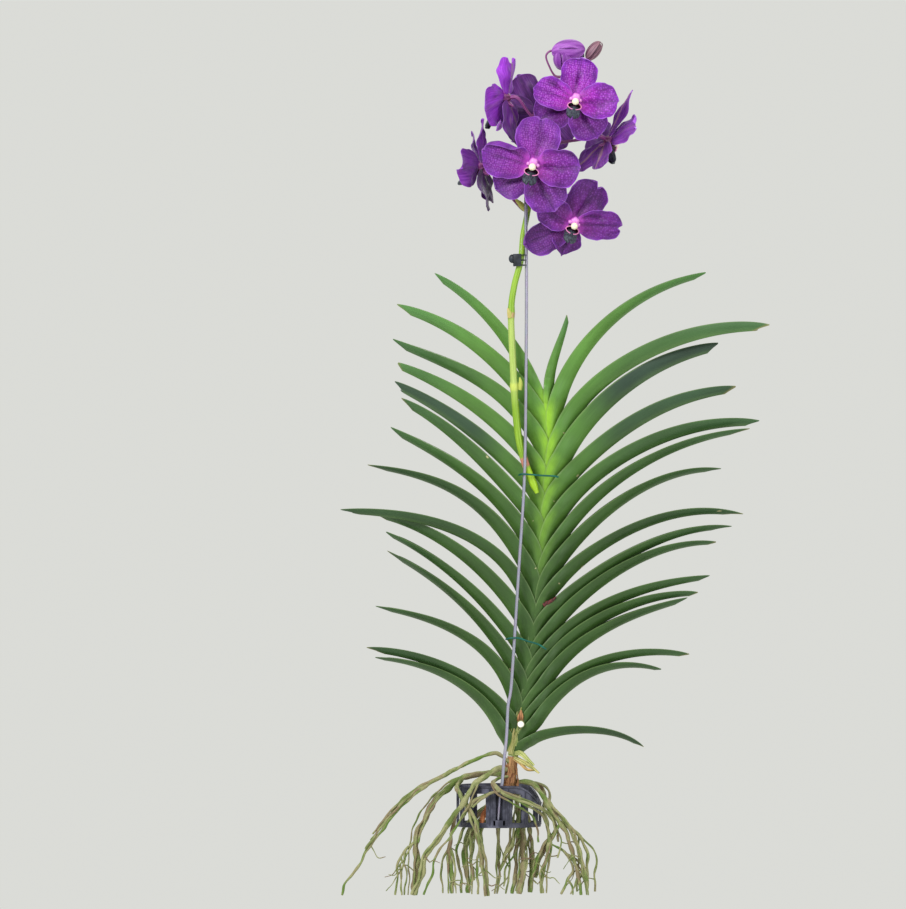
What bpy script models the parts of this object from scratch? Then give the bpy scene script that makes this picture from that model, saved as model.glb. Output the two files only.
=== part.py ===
"""A vanda orchid in flower, bare rooted in a small slotted basket that hangs on its support wire.

Units are metres, with X to the right, Y to the back and +Z up. The origin is the seat of the hanging hook:
the highest point inside its bend. Places in the tables below are millimetres right of that seat, below it
and in front of it, and at() turns them into points.
"""

import math
from collections import namedtuple

import bmesh
import bpy
from mathutils import Matrix, Vector

PLANT = "vanda_orchid"
MM = 0.001
GAP = 0.3

LEAF_THICK = 1.3
LEAF_ROWS = 9
FOLD_AT_BASE = math.radians(72)
LEAF_NARROWING = 0.55
TIP_CUT = 0.10

STEM_CORE = 6.5
SHEATH_DROP = 36
SHEATH_FOOT_HEIGHT = 10
SHEATH_FOOT_HALF = 4.5
STEM_FOOT = 674

TEPAL_THICK = 1.1
TEPAL_ROWS = 4
TEPAL_COLUMNS = 3
BLOOM_HUB = 5.5
STALK_CLEAR = 3.6

WIRE_RADIUS = 1.6
HOOK_RADIUS = 12
HOOK_TAIL = 12
TIE_RADIUS = 0.9
SPIKE_LOW, SPIKE_HIGH = 3.6, 2.3

BASKET_ACROSS, BASKET_BACK = -51, 14
BASKET_RADIUS, BASKET_WALL = 42, 2.2
BASKET_TOP, BASKET_FLOOR = 703, 745
RIM_BAND, FLOOR_BAND = 8, 5
RIM_DIP = 17
BASKET_RIBS = 14
RIB_WIDTH = 8

Leaf = namedtuple("Leaf", "name side joint third two_thirds tip width fold lean roll")
Bloom = namedtuple("Bloom", "name place turn pitch roll size stalk tepals")
Tepal = namedtuple("Tepal", "angle length width lean bend curl offset")

LEFT, RIGHT = -1, 1

# Each blade: its joint with the sheath, two points along its middle and its tip (right, below), then its flat
# half width, the fold of a half at the tip, how far the tip leans to the front, and its roll there.
LEAVES = (
    Leaf("leaf_left_01", LEFT, (-17, 303), (-43, 257), (-77, 220), (-116, 193), 16, 48, -8, 0),
    Leaf("leaf_left_02", LEFT, (-18, 321), (-52, 281), (-98, 247), (-154, 225), 19, 60, 6, 0),
    Leaf("leaf_left_03", LEFT, (-19, 345), (-58, 306), (-104, 281), (-158, 259), 18, 50, -6, 0),
    Leaf("leaf_left_04", LEFT, (-22, 372), (-61, 334), (-105, 305), (-153, 283), 18, 55, 4, 8),
    Leaf("leaf_left_05", LEFT, (-22, 400), (-62, 362), (-107, 330), (-157, 303), 17, 52, 8, 25),
    Leaf("leaf_left_06", LEFT, (-23, 426), (-62, 383), (-104, 346), (-150, 318), 17, 55, 6, 0),
    Leaf("leaf_left_07", LEFT, (-25, 452), (-64, 406), (-110, 373), (-160, 347), 17, 45, -8, 0),
    Leaf("leaf_left_08", LEFT, (-26, 479), (-68, 427), (-119, 398), (-183, 384), 17, 26, 8, 0),
    Leaf("leaf_left_09", LEFT, (-27, 508), (-70, 461), (-135, 437), (-210, 430), 15, 30, 12, 12),
    Leaf("leaf_left_10", LEFT, (-29, 534), (-67, 489), (-119, 452), (-180, 432), 17, 42, -12, 10),
    Leaf("leaf_left_11", LEFT, (-31, 563), (-69, 517), (-114, 479), (-164, 451), 15, 34, -8, 0),
    Leaf("leaf_left_12", LEFT, (-34.5, 586.5), (-70, 538), (-113, 500), (-163, 470), 15, 30, -10, 0),
    Leaf("leaf_left_13", LEFT, (-39, 606), (-72, 563), (-120, 538), (-175, 525), 15, 28, 6, 0),
    Leaf("leaf_left_14", LEFT, (-42, 634), (-77, 601), (-126, 578), (-184, 568), 15, 36, 6, 14),
    Leaf("leaf_left_15", LEFT, (-48.2, 647.4), (-77, 611), (-120, 587), (-175, 576), 14, 26, 4, 0),
    Leaf("leaf_centre", RIGHT, (-1, 305), (3, 281), (11, 257), (18, 233), 11.5, 44, 2, 0),
    Leaf("leaf_right_01", RIGHT, (9, 314), (36, 264), (85, 220), (156, 192), 18, 40, -8, 0),
    Leaf("leaf_right_02", RIGHT, (14, 345), (62, 291), (138, 256), (219, 247), 19, 45, 14, 32),
    Leaf("leaf_right_03", RIGHT, (15, 370), (53, 322), (106, 286), (169, 265), 21, 56, -6, 14),
    Leaf("leaf_right_04", RIGHT, (15, 398), (56, 360), (114, 326), (186, 308), 19, 44, 8, 20),
    Leaf("leaf_right_05", RIGHT, (14, 424), (61, 382), (130, 351), (209, 342), 18, 36, -6, 20),
    Leaf("leaf_right_06", RIGHT, (13, 451), (61, 402), (125, 366), (200, 348), 15, 34, 6, 0),
    Leaf("leaf_right_07", RIGHT, (11, 475), (53, 432), (108, 399), (171, 388), 16, 28, -8, 0),
    Leaf("leaf_right_08", RIGHT, (9, 499), (57, 460), (122, 434), (193, 434), 15, 28, 6, 10),
    Leaf("leaf_right_09", RIGHT, (7, 523), (57, 485), (118, 455), (182, 446), 15, 36, 8, 0),
    Leaf("leaf_right_10", RIGHT, (4, 543), (50, 500), (107, 470), (166, 461), 15, 34, 5, 0),
    Leaf("leaf_right_11", RIGHT, (3, 562), (49, 526), (104, 505), (160, 495), 15, 36, 8, 6),
    Leaf("leaf_right_12", RIGHT, (0, 579), (46, 539), (100, 517), (148, 512), 15, 38, 5, 4),
    Leaf("leaf_right_13", RIGHT, (-4, 599), (39, 556), (90, 531), (138, 517), 15, 34, 3, 0),
    Leaf("leaf_right_14", RIGHT, (-9, 620), (33, 587), (84, 572), (139, 574), 14, 30, 6, 12),
    Leaf("leaf_right_15", RIGHT, (-12, 637), (24, 600), (66, 584), (111, 588), 14, 30, 4, 0),
    Leaf("leaf_right_16", RIGHT, (-18, 658), (13, 649), (56, 650), (93, 666), 12, 30, 10, 10),
)

# The stem's middle line, right of the hook's seat and below it, from the crown to the fibrous base.
STEM_LINE = (
    (-1, 335), (0, 369), (-5, 418), (-9, 466), (-11, 512),
    (-15, 548), (-20, 568), (-22, 588), (-26, 609), (-29, 630), (-35, 659), (-37, STEM_FOOT),
)

# The flower spike from the leaf's axil to its tip: right, below, in front.
SPIKE_ROUTE = (
    (-13, 411, 12.5), (-20, 394, 13), (-25, 381, 13), (-31, 358, 15), (-35, 322, 17), (-37, 285, 18),
    (-39, 232, 18), (-36, 205, 17), (-29.2, 178, 16.4), (-27, 154, 12.5), (-22, 128, 12), (-17, 98, 12),
    (-8, 68, 11), (0, 38, 11), (8, 13, 11), (16, -4, 11),
)
SPIKE_NODES = ((-36.5, 305, 17.6), (-39, 231, 18))

WIRE_ROUTE = (
    (-52, 736.8, 22.8), (-50, 713, 22.8), (-48, 700, 22.6), (-46, 677, 22), (-43.5, 654, 20.8), (-42, 623, 19.6),
    (-39.3, 608, 19), (-37, 578, 18.5), (-31, 483, 18.5), (-25.6, 392, 19), (-24, 276, 19),
    (-23.7, 184, 17), (-24.4, 118, 17.5), (-23, 83, 12), (-18, 58, 5), (-13, 36, 1),
)

# Each bloom: the place of its middle, its turn to the right, its tilt up and its roll, its size, its stalk
# (depth of its joint with the spike, then its bends), and its five tepals in the order of ROLES. A tepal has
# its angle clockwise from the bloom's top, its length, its width and how far it leans to the front.
BLOOMS = (
    Bloom("bloom_front_top", (24.5, 21, 34), 3, 3, 12, 1, (18, (13, 23, 17)),
          ((-3, 46, 37, 0.05), (-85, 44, 34, 0.20), (78, 44, 37, 0.20), (-127, 44, 37, 0.02), (136, 43, 38, 0.05))),
    Bloom("bloom_front_middle", (-17.5, 86, 46), -3, 0, 12, 1.05, (100, (-18, 97.5, 23)),
          ((-2, 52, 45, 0.05), (-85, 53, 37, 0.24), (79, 48, 42, 0.20), (-133, 44, 38, 0.0), (142, 50, 42, 0.10))),
    Bloom("bloom_front_low", (22, 143, 30), 12, -8, 20, 1, (154, (-12, 151, 12), (8, 148, 17)),
          ((10, 50, 41, 0.04), (-82, 42, 35, 0.13), (71, 50, 32, 0.20), (-134, 53, 36, 0.04), (176, 34, 30, 0.0))),
    Bloom("bloom_left_top", (-44, 16, 12), -112, 0, 0, 1, (47, (-20, 33, 14)),
          ((0, 43, 36, -0.04), (-125, 42, 36, 0.50), (109, 44, 42, 0.18), (-160, 42, 32, -0.05),
           (170, 46, 32, -0.10))),
    Bloom("bloom_left_low", (-69.5, 85, 12), -104, -4, 0, 1, (129, (-29, 125.5, 11), (-44, 109, 11)),
          ((4, 48, 34, -0.03), (-22, 40, 26, 0.28), (94, 44, 40, 0.30), (-150, 42, 34, 0.0), (170, 46, 36, -0.04))),
    Bloom("bloom_right", (58, 59, 8), 125, -25, 0, 1, (62, (8, 61, 5), (34, 57, 4)),
          ((-18, 56, 27, 0.0), (-62, 43, 36, 0.06), (75, 42, 36, 0.10), (-170, 35, 28, 0.0), (139, 45, 34, 0.0))),
    Bloom("bloom_back", (-12, 30, -32), 172, 4, -55, 1, (57, (-8, 49, -8)),
          ((0, 40, 34, 0.05), (-80, 46, 38, 0.12), (83, 44, 32, 0.10), (-150, 40, 32, 0.05), (138, 40, 32, 0.05))),
)
# How a top sepal, a left and a right petal, and a left and a right side sepal curve: the bend along the
# blade, the curl of its edges, and how far its base lies in front of the bloom's middle.
ROLES = ((-0.08, 0.05, -1.6), (-0.06, -0.04, 1.6), (-0.06, -0.04, 1.8), (-0.09, 0.04, -2.0), (-0.10, 0.04, -1.4))

# Root routes: right, below, in front, then the radius at the start and at the end.
ROOTS = (
    (((-41, 680, 2), (-50, 672, 7), (-58, 671, 9), (-70, 675, 12), (-87, 683, 14), (-113, 697, 14),
      (-141, 716, 12), (-157, 734, 10), (-176, 758, 8), (-192, 784, 6), (-203, 799, 5), (-208, 813, 4)), 2.4, 1.5),
    (((-42, 688, 2), (-52, 686, 12), (-61, 691, 20), (-72, 699, 26), (-80, 708, 27), (-88, 721, 25),
      (-102, 742, 18), (-113, 758, 16), (-124, 775, 14), (-129, 795, 12), (-136, 812, 11)), 3.6, 2.6),
    (((-44, 694, -4), (-62, 691, -4), (-79, 694, -4), (-91, 697, -3), (-102, 706, -2), (-115, 719, 0),
      (-126, 738, 2), (-133, 756, 3), (-134, 786, 3), (-135, 813, 3)), 3.4, 4.0),
    (((-133, 758, 3), (-145, 768, 2), (-151, 780, 1), (-153, 797, 0), (-155, 813, 0)), 1.6, 1.2),
    (((-150, 782, 1), (-149, 797, 3), (-148, 813, 4)), 1.2, 1.1),
    (((-88, 697, -3), (-93, 704, 8), (-88, 714, 19), (-80, 727, 25), (-74, 740, 29), (-70, 754, 27),
      (-66.5, 771, 24), (-63, 790, 22), (-61.5, 813, 20)), 2.6, 1.6),
    (((-92, 728, 24), (-98, 745, 14), (-100, 765, 10), (-99, 790, 8), (-98, 811, 8)), 2.0, 2.8),
    (((-43, 706, -8), (-66, 728, -14), (-80, 746, -12), (-86, 768, -8), (-83, 793, -4), (-82, 811, -2)), 2.2, 3.0),
    (((-44, 708, 0), (-62, 730, -2), (-74, 746, 0), (-80, 763, 2), (-78, 786, 4), (-79, 800, 5)), 1.8, 1.3),
    (((-42, 710, 0), (-60, 735, 5), (-70, 750, 8), (-71, 770, 8), (-73, 790, 6), (-72, 812, 6)), 2.0, 1.5),
    (((-40, 710, -6), (-47, 728, -6), (-51.5, 744, -4), (-51, 778, -7), (-50, 790, -6), (-53, 812, -6)), 1.8, 1.4),
    (((-50, 789, -6), (-46, 776, 0), (-41, 762, 4), (-40, 748, 2), (-38, 730, -3), (-38, 708, -3)), 1.3, 1.3),
    (((-37, 706, -4), (-32, 726, -10), (-28.5, 744, -13.5), (-26, 770, -9), (-27, 788, -4), (-31, 812, -3)), 3.2, 3.6),
    (((-31, 730, -9), (-33, 760, -14), (-34, 785, -12), (-38, 812, -8)), 2.2, 2.6),
    (((-36, 704, -8), (-24, 730, -16), (-19, 752, -18), (-18, 775, -16), (-18, 795, -14), (-19, 811, -12)), 2.2, 2.4),
    (((-35, 700, -6), (-20, 701, -8), (-9, 712, -2), (2, 729, 2), (9, 740, 2), (17, 753, 2), (22, 767, 1),
      (25, 784, 0), (30, 801, 0), (31, 813, 0)), 3.2, 2.2),
    (((8, 739, 2), (18, 745, -3), (27, 751, -5), (33, 762, -6), (38, 775, -6), (37.5, 793, -6),
      (37, 810, -6)), 2.2, 1.7),
    (((-41, 694, 4), (-48, 695, 12), (-55, 698, 20), (-58, 700, 28), (-54, 706, 33), (-46, 711, 35),
      (-35, 716, 34), (-21, 724, 26), (-9, 731, 9), (-4, 741, 4), (-1, 760, 2)), 1.8, 1.6),
    (((-50, 708, 35), (-57, 709, 34), (-64, 712, 32), (-72, 716, 30), (-80, 724, 25)), 1.5, 1.5),
    (((11, 741, 2), (5, 750, 0), (-1, 760, -2), (-9, 776, -4), (-14, 796, -5)), 2.4, 1.8),
    (((-6, 724, -24), (-3, 745, -8), (0, 760, 0), (-4, 778, 3), (-8, 790, 4), (-8, 811, 4)), 2.2, 2.6),
    (((-36, 701, -12), (-21, 700.5, -27), (-10, 705, -35), (-4, 714, -34), (-6, 724, -24)), 2.2, 2.2),
    (((1, 762, 0), (12, 768, -3), (20, 779, -4), (23, 790, -3), (17, 800, 1), (11, 812, 3)), 1.3, 1.8),
    (((18, 798, 1), (22, 805, -2), (23, 813, -3)), 1.3, 1.1),
)
# Rings of the bark, from its top: right, below, in front, then its width and depth there.
BARK_RINGS = ((-59.5, 717, 15, 2.5, 1.6), (-62, 723, 16, 5.5, 3), (-66.5, 732, 16.5, 6.5, 3.4),
              (-68.6, 741.9, 17, 4.5, 2.6))
CROWN_ROUTE = ((-37.5, STEM_FOOT + 2 * GAP, 0), (-39, 690, 0), (-40, 700, -2), (-40, 712, -3))

# Each clip's middle, the half width and half depth of its jaws, its tooth levels, and the side of its grip.
CLIPS = (
    ("clip_low", (-28, 178.5, 16.6), 7.2, 5.0, (-5, 0, 5), LEFT),
    ("clip_high", (-21.4, 119.5, 14.4), 6.4, 7.2, (-2.2, 2.2), RIGHT),
)


def at(right, below, front=0.0):
    """The point that lies these millimetres right of, below and in front of the hook's seat."""
    return Vector((right * MM, -front * MM, -below * MM))


def blend(low, high, share):
    return low + (high - low) * share


def ease(low, high, value):
    """0 below low, 1 above high, and a smooth rise between."""
    share = min(max((value - low) / (high - low), 0.0), 1.0)
    return share * share * (3 - 2 * share)


def clear_scene():
    for item in list(bpy.data.objects):
        bpy.data.objects.remove(item, do_unlink=True)


def material(name, colour, roughness, metallic=0.0):
    made = bpy.data.materials.new(name)
    made.use_nodes = True
    shader = made.node_tree.nodes["Principled BSDF"]
    shader.inputs["Base Color"].default_value = (*colour, 1)
    shader.inputs["Roughness"].default_value = roughness
    shader.inputs["Metallic"].default_value = metallic
    made.diffuse_color = (*colour, 1)
    return made


def add_object(name, data, finish=None):
    made = bpy.data.objects.new(name, data)
    bpy.data.collections[PLANT].objects.link(made)
    if finish:
        made.data.materials.append(finish)
    return made


def from_bmesh(name, shape):
    mesh = bpy.data.meshes.new(name)
    shape.to_mesh(mesh)
    shape.free()
    return add_object(name, mesh)


def sheet(name, place, rows, columns, thick):
    """A thin solid whose front face is a grid mapped by place(along 0 to 1, across -1 to 1)."""
    shape = bmesh.new()
    bmesh.ops.create_grid(shape, x_segments=rows, y_segments=columns, size=0.5)
    bmesh.ops.triangulate(shape, faces=shape.faces[:], quad_method="FIXED")
    for vertex in shape.verts:
        vertex.co = place(vertex.co.x + 0.5, vertex.co.y * 2)
    made = from_bmesh(name, shape)
    body = made.modifiers.new("thickness", "SOLIDIFY")
    body.thickness = thick * MM
    body.offset = -1
    return made


def smooth_route(stops, spacing):
    """Points about spacing apart on a smooth curve through the stops."""
    ends = [stops[0] * 2 - stops[1], *stops, stops[-1] * 2 - stops[-2]]
    points = []
    for before, start, end, after in zip(ends, ends[1:], ends[2:], ends[3:]):
        count = max(1, round((end - start).length / spacing))
        for step in range(count):
            t = step / count
            points.append(
                0.5 * (2 * start + (end - before) * t + (2 * before - 5 * start + 4 * end - after) * t**2
                       + (3 * start - before - 3 * end + after) * t**3)
            )
    return [*points, stops[-1]]


def tube(name, points, radii, finish=None, fineness=1):
    """A round curve object through the points, whose radius runs evenly between the two radii."""
    curve = bpy.data.curves.new(name, "CURVE")
    curve.dimensions = "3D"
    curve.bevel_depth = MM
    curve.bevel_resolution = fineness
    curve.use_fill_caps = True
    spline = curve.splines.new("POLY")
    spline.points.add(len(points) - 1)
    for index, (knot, point) in enumerate(zip(spline.points, points)):
        knot.co = (*point, 1)
        knot.radius = blend(*radii, index / (len(points) - 1))
    return add_object(name, curve, finish)


def as_mesh(item):
    """The object's evaluated shape as a mesh object with its loose caps welded on."""
    graph = bpy.context.evaluated_depsgraph_get()
    mesh = bpy.data.meshes.new_from_object(item.evaluated_get(graph))
    shape = bmesh.new()
    shape.from_mesh(mesh)
    bmesh.ops.remove_doubles(shape, verts=shape.verts[:], dist=1e-7)
    bmesh.ops.recalc_face_normals(shape, faces=shape.faces[:])
    shape.to_mesh(mesh)
    shape.free()
    made = add_object("piece", mesh)
    made.matrix_world = item.matrix_world
    bpy.data.objects.remove(item, do_unlink=True)
    return made


def solid_tube(points, radii, fineness=1):
    return as_mesh(tube("tube", points, radii, fineness=fineness))


def loft(rings):
    """A closed solid through rings of points that match one to one."""
    shape = bmesh.new()
    layers = [[shape.verts.new(point) for point in ring] for ring in rings]
    for lower, upper in zip(layers, layers[1:]):
        for index in range(len(lower)):
            after = (index + 1) % len(lower)
            shape.faces.new((lower[index], lower[after], upper[after], upper[index]))
    shape.faces.new(layers[0])
    shape.faces.new(layers[-1])
    bmesh.ops.recalc_face_normals(shape, faces=shape.faces[:])
    return from_bmesh("loft", shape)


def cone(start, end, radii, sides=6):
    """A straight round piece from start to end."""
    shape = bmesh.new()
    way = end - start
    turn = way.to_track_quat("Z", "Y").to_matrix().to_4x4()
    bmesh.ops.create_cone(
        shape, cap_ends=True, segments=sides, radius1=radii[0] * MM, radius2=radii[1] * MM,
        depth=way.length, matrix=Matrix.Translation((start + end) / 2) @ turn,
    )
    return from_bmesh("cone", shape)


def ball(centre, radii, turn=None, rings=6):
    """A round lump with its own half width, depth and height."""
    shape = bmesh.new()
    bmesh.ops.create_uvsphere(shape, u_segments=8, v_segments=rings, radius=1)
    scale = Matrix.Diagonal((*(radius * MM for radius in radii), 1))
    shape.transform(Matrix.Translation(centre) @ (turn or Matrix()) @ scale)
    return from_bmesh("ball", shape)


def block(centre, size, turn=0.0):
    """A box with its sides in millimetres, turned about the vertical."""
    shape = bmesh.new()
    bmesh.ops.create_cube(shape, size=1)
    scale = Matrix.Diagonal((*(side * MM for side in size), 1))
    shape.transform(Matrix.Translation(centre) @ Matrix.Rotation(turn, 4, "Z") @ scale)
    return from_bmesh("block", shape)


def merge_flat(mesh):
    """Faces that lie in one plane made one, then all of them cut into triangles."""
    shape = bmesh.new()
    shape.from_mesh(mesh)
    bmesh.ops.dissolve_limit(shape, angle_limit=math.radians(0.5), verts=shape.verts[:], edges=shape.edges[:])
    bmesh.ops.triangulate(shape, faces=shape.faces[:])
    shape.to_mesh(mesh)
    shape.free()


def fuse(name, pieces, finish, solver="EXACT"):
    """One closed body from overlapping pieces, which are removed."""
    first, *others = pieces
    group = bpy.data.collections.new("joined")
    bpy.context.scene.collection.children.link(group)
    for piece in others:
        group.objects.link(piece)
    join = first.modifiers.new("join", "BOOLEAN")
    join.operation = "UNION"
    join.operand_type = "COLLECTION"
    join.collection = group
    join.solver = solver
    bpy.context.view_layer.update()
    graph = bpy.context.evaluated_depsgraph_get()
    mesh = bpy.data.meshes.new_from_object(first.evaluated_get(graph))
    mesh.name = name
    mesh.materials.clear()
    merge_flat(mesh)
    for piece in pieces:
        bpy.data.objects.remove(piece, do_unlink=True)
    bpy.data.collections.remove(group)
    return add_object(name, mesh, finish)


class Midrib:
    """The smooth curve through a leaf's four places, and its headings."""

    def __init__(self, leaf):
        places = [at(*place) for place in (leaf.joint, leaf.third, leaf.two_thirds, leaf.tip)]
        leans = [leaf.lean * share**2 for share in (0, 1 / 3, 2 / 3, 1)]
        start, near, far, end = (place - Vector((0, lean * MM, 0)) for place, lean in zip(places, leans))
        first = (-5 * start + 18 * near - 9 * far + 2 * end) / 6
        second = (2 * start - 9 * near + 18 * far - 5 * end) / 6
        self.points = start, first, second, end
        self.side = leaf.side

    def place(self, t):
        start, first, second, end = self.points
        rest = 1 - t
        return rest**3 * start + 3 * rest**2 * t * first + 3 * rest * t**2 * second + t**3 * end

    def frame(self, t):
        """Along the leaf, up out of its fold, and out to the front."""
        start, first, second, end = self.points
        rest = 1 - t
        along = rest**2 * (first - start) + 2 * rest * t * (second - first) + t**2 * (end - second)
        along.normalize()
        up = self.side * along.cross(Vector((0, 1, 0)))
        up.normalize()
        return along, up, self.side * up.cross(along)


def leaf_section(leaf, midrib, t):
    """The half width, the fold of a half, and the rolled up and front directions of a blade at t."""
    along, up, front = midrib.frame(t)
    half = leaf.width * (1 - LEAF_NARROWING * t**1.7)
    fold = blend(FOLD_AT_BASE, math.radians(leaf.fold), t**0.7)
    roll = math.radians(leaf.roll) * ease(0.1, 0.8, t)
    tilted_up = up * math.cos(roll) + front * math.sin(roll)
    tilted_front = front * math.cos(roll) - up * math.sin(roll)
    return along, tilted_up, tilted_front, half, fold


def leaf_point(leaf, midrib, along, across):
    """A blade is a V about its keel. Its tip is cut back at the keel into two teeth."""
    t = along - TIP_CUT * (1 - abs(across)) * along**5
    _, up, front, half, fold = leaf_section(leaf, midrib, t)
    rise = half * math.sin(fold)
    spread = half * math.cos(fold)
    return midrib.place(t) + (up * rise * (abs(across) - 0.5) - front * spread * across) * MM


def make_leaf(leaf, finish):
    midrib = Midrib(leaf)

    def place(along, across):
        return leaf_point(leaf, midrib, along, across * leaf.side)

    made = sheet(leaf.name, place, LEAF_ROWS, 2, LEAF_THICK)
    made.data.materials.append(finish)


def stem_right(below):
    """Where the stem's middle line lies, right of the hook's seat, at a depth below it."""
    for (right_a, below_a), (right_b, below_b) in zip(STEM_LINE, STEM_LINE[1:]):
        if below <= below_b:
            return blend(right_a, right_b, (below - below_a) / (below_b - below_a))
    return STEM_LINE[-1][0]


def sheath(leaf):
    """The solid that clasps the stem below a blade: a wedge whose end matches the blade's first section."""
    midrib = Midrib(leaf)
    along, up, front, half, fold = leaf_section(leaf, midrib, 0)
    right, below = leaf.joint
    foot_below = min(below + SHEATH_DROP, STEM_FOOT - 4)
    elbow_below = blend(below, foot_below, 0.42)
    foot = at(stem_right(foot_below) + 3 * leaf.side, foot_below)
    elbow = at(stem_right(elbow_below) + 9 * leaf.side, elbow_below)
    end = midrib.place(0) - along * GAP * MM
    rings = []
    for t in (0, 0.55, 1):
        centre = (1 - t) ** 2 * foot + 2 * t * (1 - t) * elbow + t**2 * end
        way = ((1 - t) * (elbow - foot) + t * (end - elbow)).normalized()
        raised = leaf.side * way.cross(Vector((0, 1, 0)))
        if t == 1:
            raised = up
        rise = blend(SHEATH_FOOT_HEIGHT, half * math.sin(fold) + 1.5, t) / 2
        spread = blend(SHEATH_FOOT_HALF, half * math.cos(fold) + 1.5, t)
        side = Vector((0, spread * MM, 0))
        rings.append((centre - raised * rise * MM, centre + raised * rise * MM - side,
                      centre + raised * rise * MM + side))
    return loft(rings)


def make_stem(finish):
    core = [at(right, below) for right, below in STEM_LINE]
    pieces = [solid_tube(smooth_route(core, 30 * MM), (STEM_CORE, STEM_CORE), fineness=2)]
    pieces += [sheath(leaf) for leaf in LEAVES]
    pieces.append(cone(at(-29.3, 641.7, 2), at(-29.3, 641.7, 13.5), (4.2, 3.7)))
    pieces.append(solid_tube(smooth_route([at(-6, 521, 5), at(1, 517, 9.5), at(6.5, 514, 12)], 6 * MM), (2.8, 1.2)))
    pieces.append(solid_tube(smooth_route([at(-36, 668, 2), at(-26, 674, 8), at(-12, 692, 10)], 8 * MM), (3.4, 1.1)))
    pieces.append(solid_tube(smooth_route([at(-34, 664, 2), at(-24, 666, 10), at(-15, 685, 12)], 8 * MM), (3.2, 1.0)))
    return fuse("stem", pieces, finish)


def make_spike(finish):
    route = smooth_route([at(*stop) for stop in SPIKE_ROUTE], 30 * MM)
    pieces = [solid_tube(route, (SPIKE_LOW, SPIKE_HIGH))]
    for right, below, front in SPIKE_NODES:
        pieces.append(ball(at(right, below, front), (4.0, 4.0, 5.0)))
    return fuse("flower_spike", pieces, finish)


class Face:
    """A bloom's own directions: where it faces, its top and its right, and the place of its middle."""

    def __init__(self, bloom):
        turn, pitch, roll = (math.radians(angle) for angle in (bloom.turn, bloom.pitch, bloom.roll))
        self.out = Vector((math.sin(turn) * math.cos(pitch), -math.cos(turn) * math.cos(pitch), math.sin(pitch)))
        upright = (Vector((0, 0, 1)) - self.out * self.out.z).normalized()
        level = upright.cross(self.out)
        self.top = upright * math.cos(roll) + level * math.sin(roll)
        self.right = level * math.cos(roll) - upright * math.sin(roll)
        self.middle = at(*bloom.place)
        self.size = bloom.size

    def point(self, right, top, out):
        """The point these millimetres from the bloom's middle, along its own directions."""
        return self.middle + (self.right * right + self.top * top + self.out * out) * MM

    def part(self, right, top, out):
        """The same for the column and lip, which grow with the bloom's size."""
        return self.point(right * self.size, top * self.size, out * self.size)


def tepal_point(face, tepal, along, across):
    """A sepal or petal: a narrow claw, a broad blade with a round end, and edges that curl and wave."""
    swell = math.sqrt(1 - 0.985 * ((along - 0.56) / 0.56) ** 2)
    side = tepal.width / 2 * swell * across
    reach = tepal.length * (0.06 + 0.94 * along - 0.15 * along**4 * across**2)
    rise = tepal.length * (tepal.lean * along + tepal.bend * along**2)
    wave = 0.035 * tepal.width * math.sin(6.5 * along + math.radians(tepal.angle)) * across
    curl = tepal.curl * tepal.width * across**2 * along
    angle = math.radians(tepal.angle)
    right = reach * math.sin(angle) + side * math.cos(angle)
    top = reach * math.cos(angle) - side * math.sin(angle)
    return face.point(right, top, tepal.offset + rise + wave + curl)


def lip_point(face, along, across):
    """The lip's middle lobe: it runs out and down, narrow in its middle and wide at its end."""
    half = 4.0 + 1.8 * math.cos(2 * math.pi * along) * (0.4 + along)
    return face.part(half * across, -3 - 13 * along, 3 + 20 * along - 5 * along**2 - 1.6 * across**2)


def spike_place(below):
    """The middle of the flower spike at a depth below the hook's seat."""
    for lower, upper in zip(SPIKE_ROUTE, SPIKE_ROUTE[1:]):
        if upper[1] <= below:
            share = (below - lower[1]) / (upper[1] - lower[1])
            return at(*(blend(a, b, share) for a, b in zip(lower, upper)))
    return at(*SPIKE_ROUTE[-1])


def stalk_route(face, joint_below, *bends):
    """From just clear of the spike, through the bends, into the bloom's back."""
    joint = spike_place(joint_below)
    away = (at(*bends[0]) - joint).normalized()
    return [joint + away * STALK_CLEAR * MM, *(at(*bend) for bend in bends), face.part(0, -1, -13),
            face.part(0, 0, -3)]


def make_bloom(bloom, finish):
    face = Face(bloom)
    hub = BLOOM_HUB * bloom.size
    pieces = [cone(face.part(0, 0, -5), face.part(0, 0, 4), (0.85 * hub, hub))]
    for shape, role in zip(bloom.tepals, ROLES):
        tepal = Tepal(*shape, *role)
        pieces.append(sheet("tepal", lambda along, across, tepal=tepal: tepal_point(face, tepal, along, -across),
                            TEPAL_ROWS, TEPAL_COLUMNS, TEPAL_THICK))
    pieces.append(sheet("lip", lambda along, across: lip_point(face, along, -across), 4, 2, 1.6))
    pieces.append(cone(face.part(0, 0.5, 2), face.part(0, 3, 11), (4.0 * bloom.size, 3.0 * bloom.size)))
    pieces.append(cone(face.part(0, -2, 1), face.part(0, -9, -8), (3.0 * bloom.size, 1.6 * bloom.size)))
    pieces.append(solid_tube(smooth_route(stalk_route(face, *bloom.stalk), 12 * MM), (1.5, 1.9)))
    return fuse(bloom.name, pieces, finish, solver="MANIFOLD")


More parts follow.
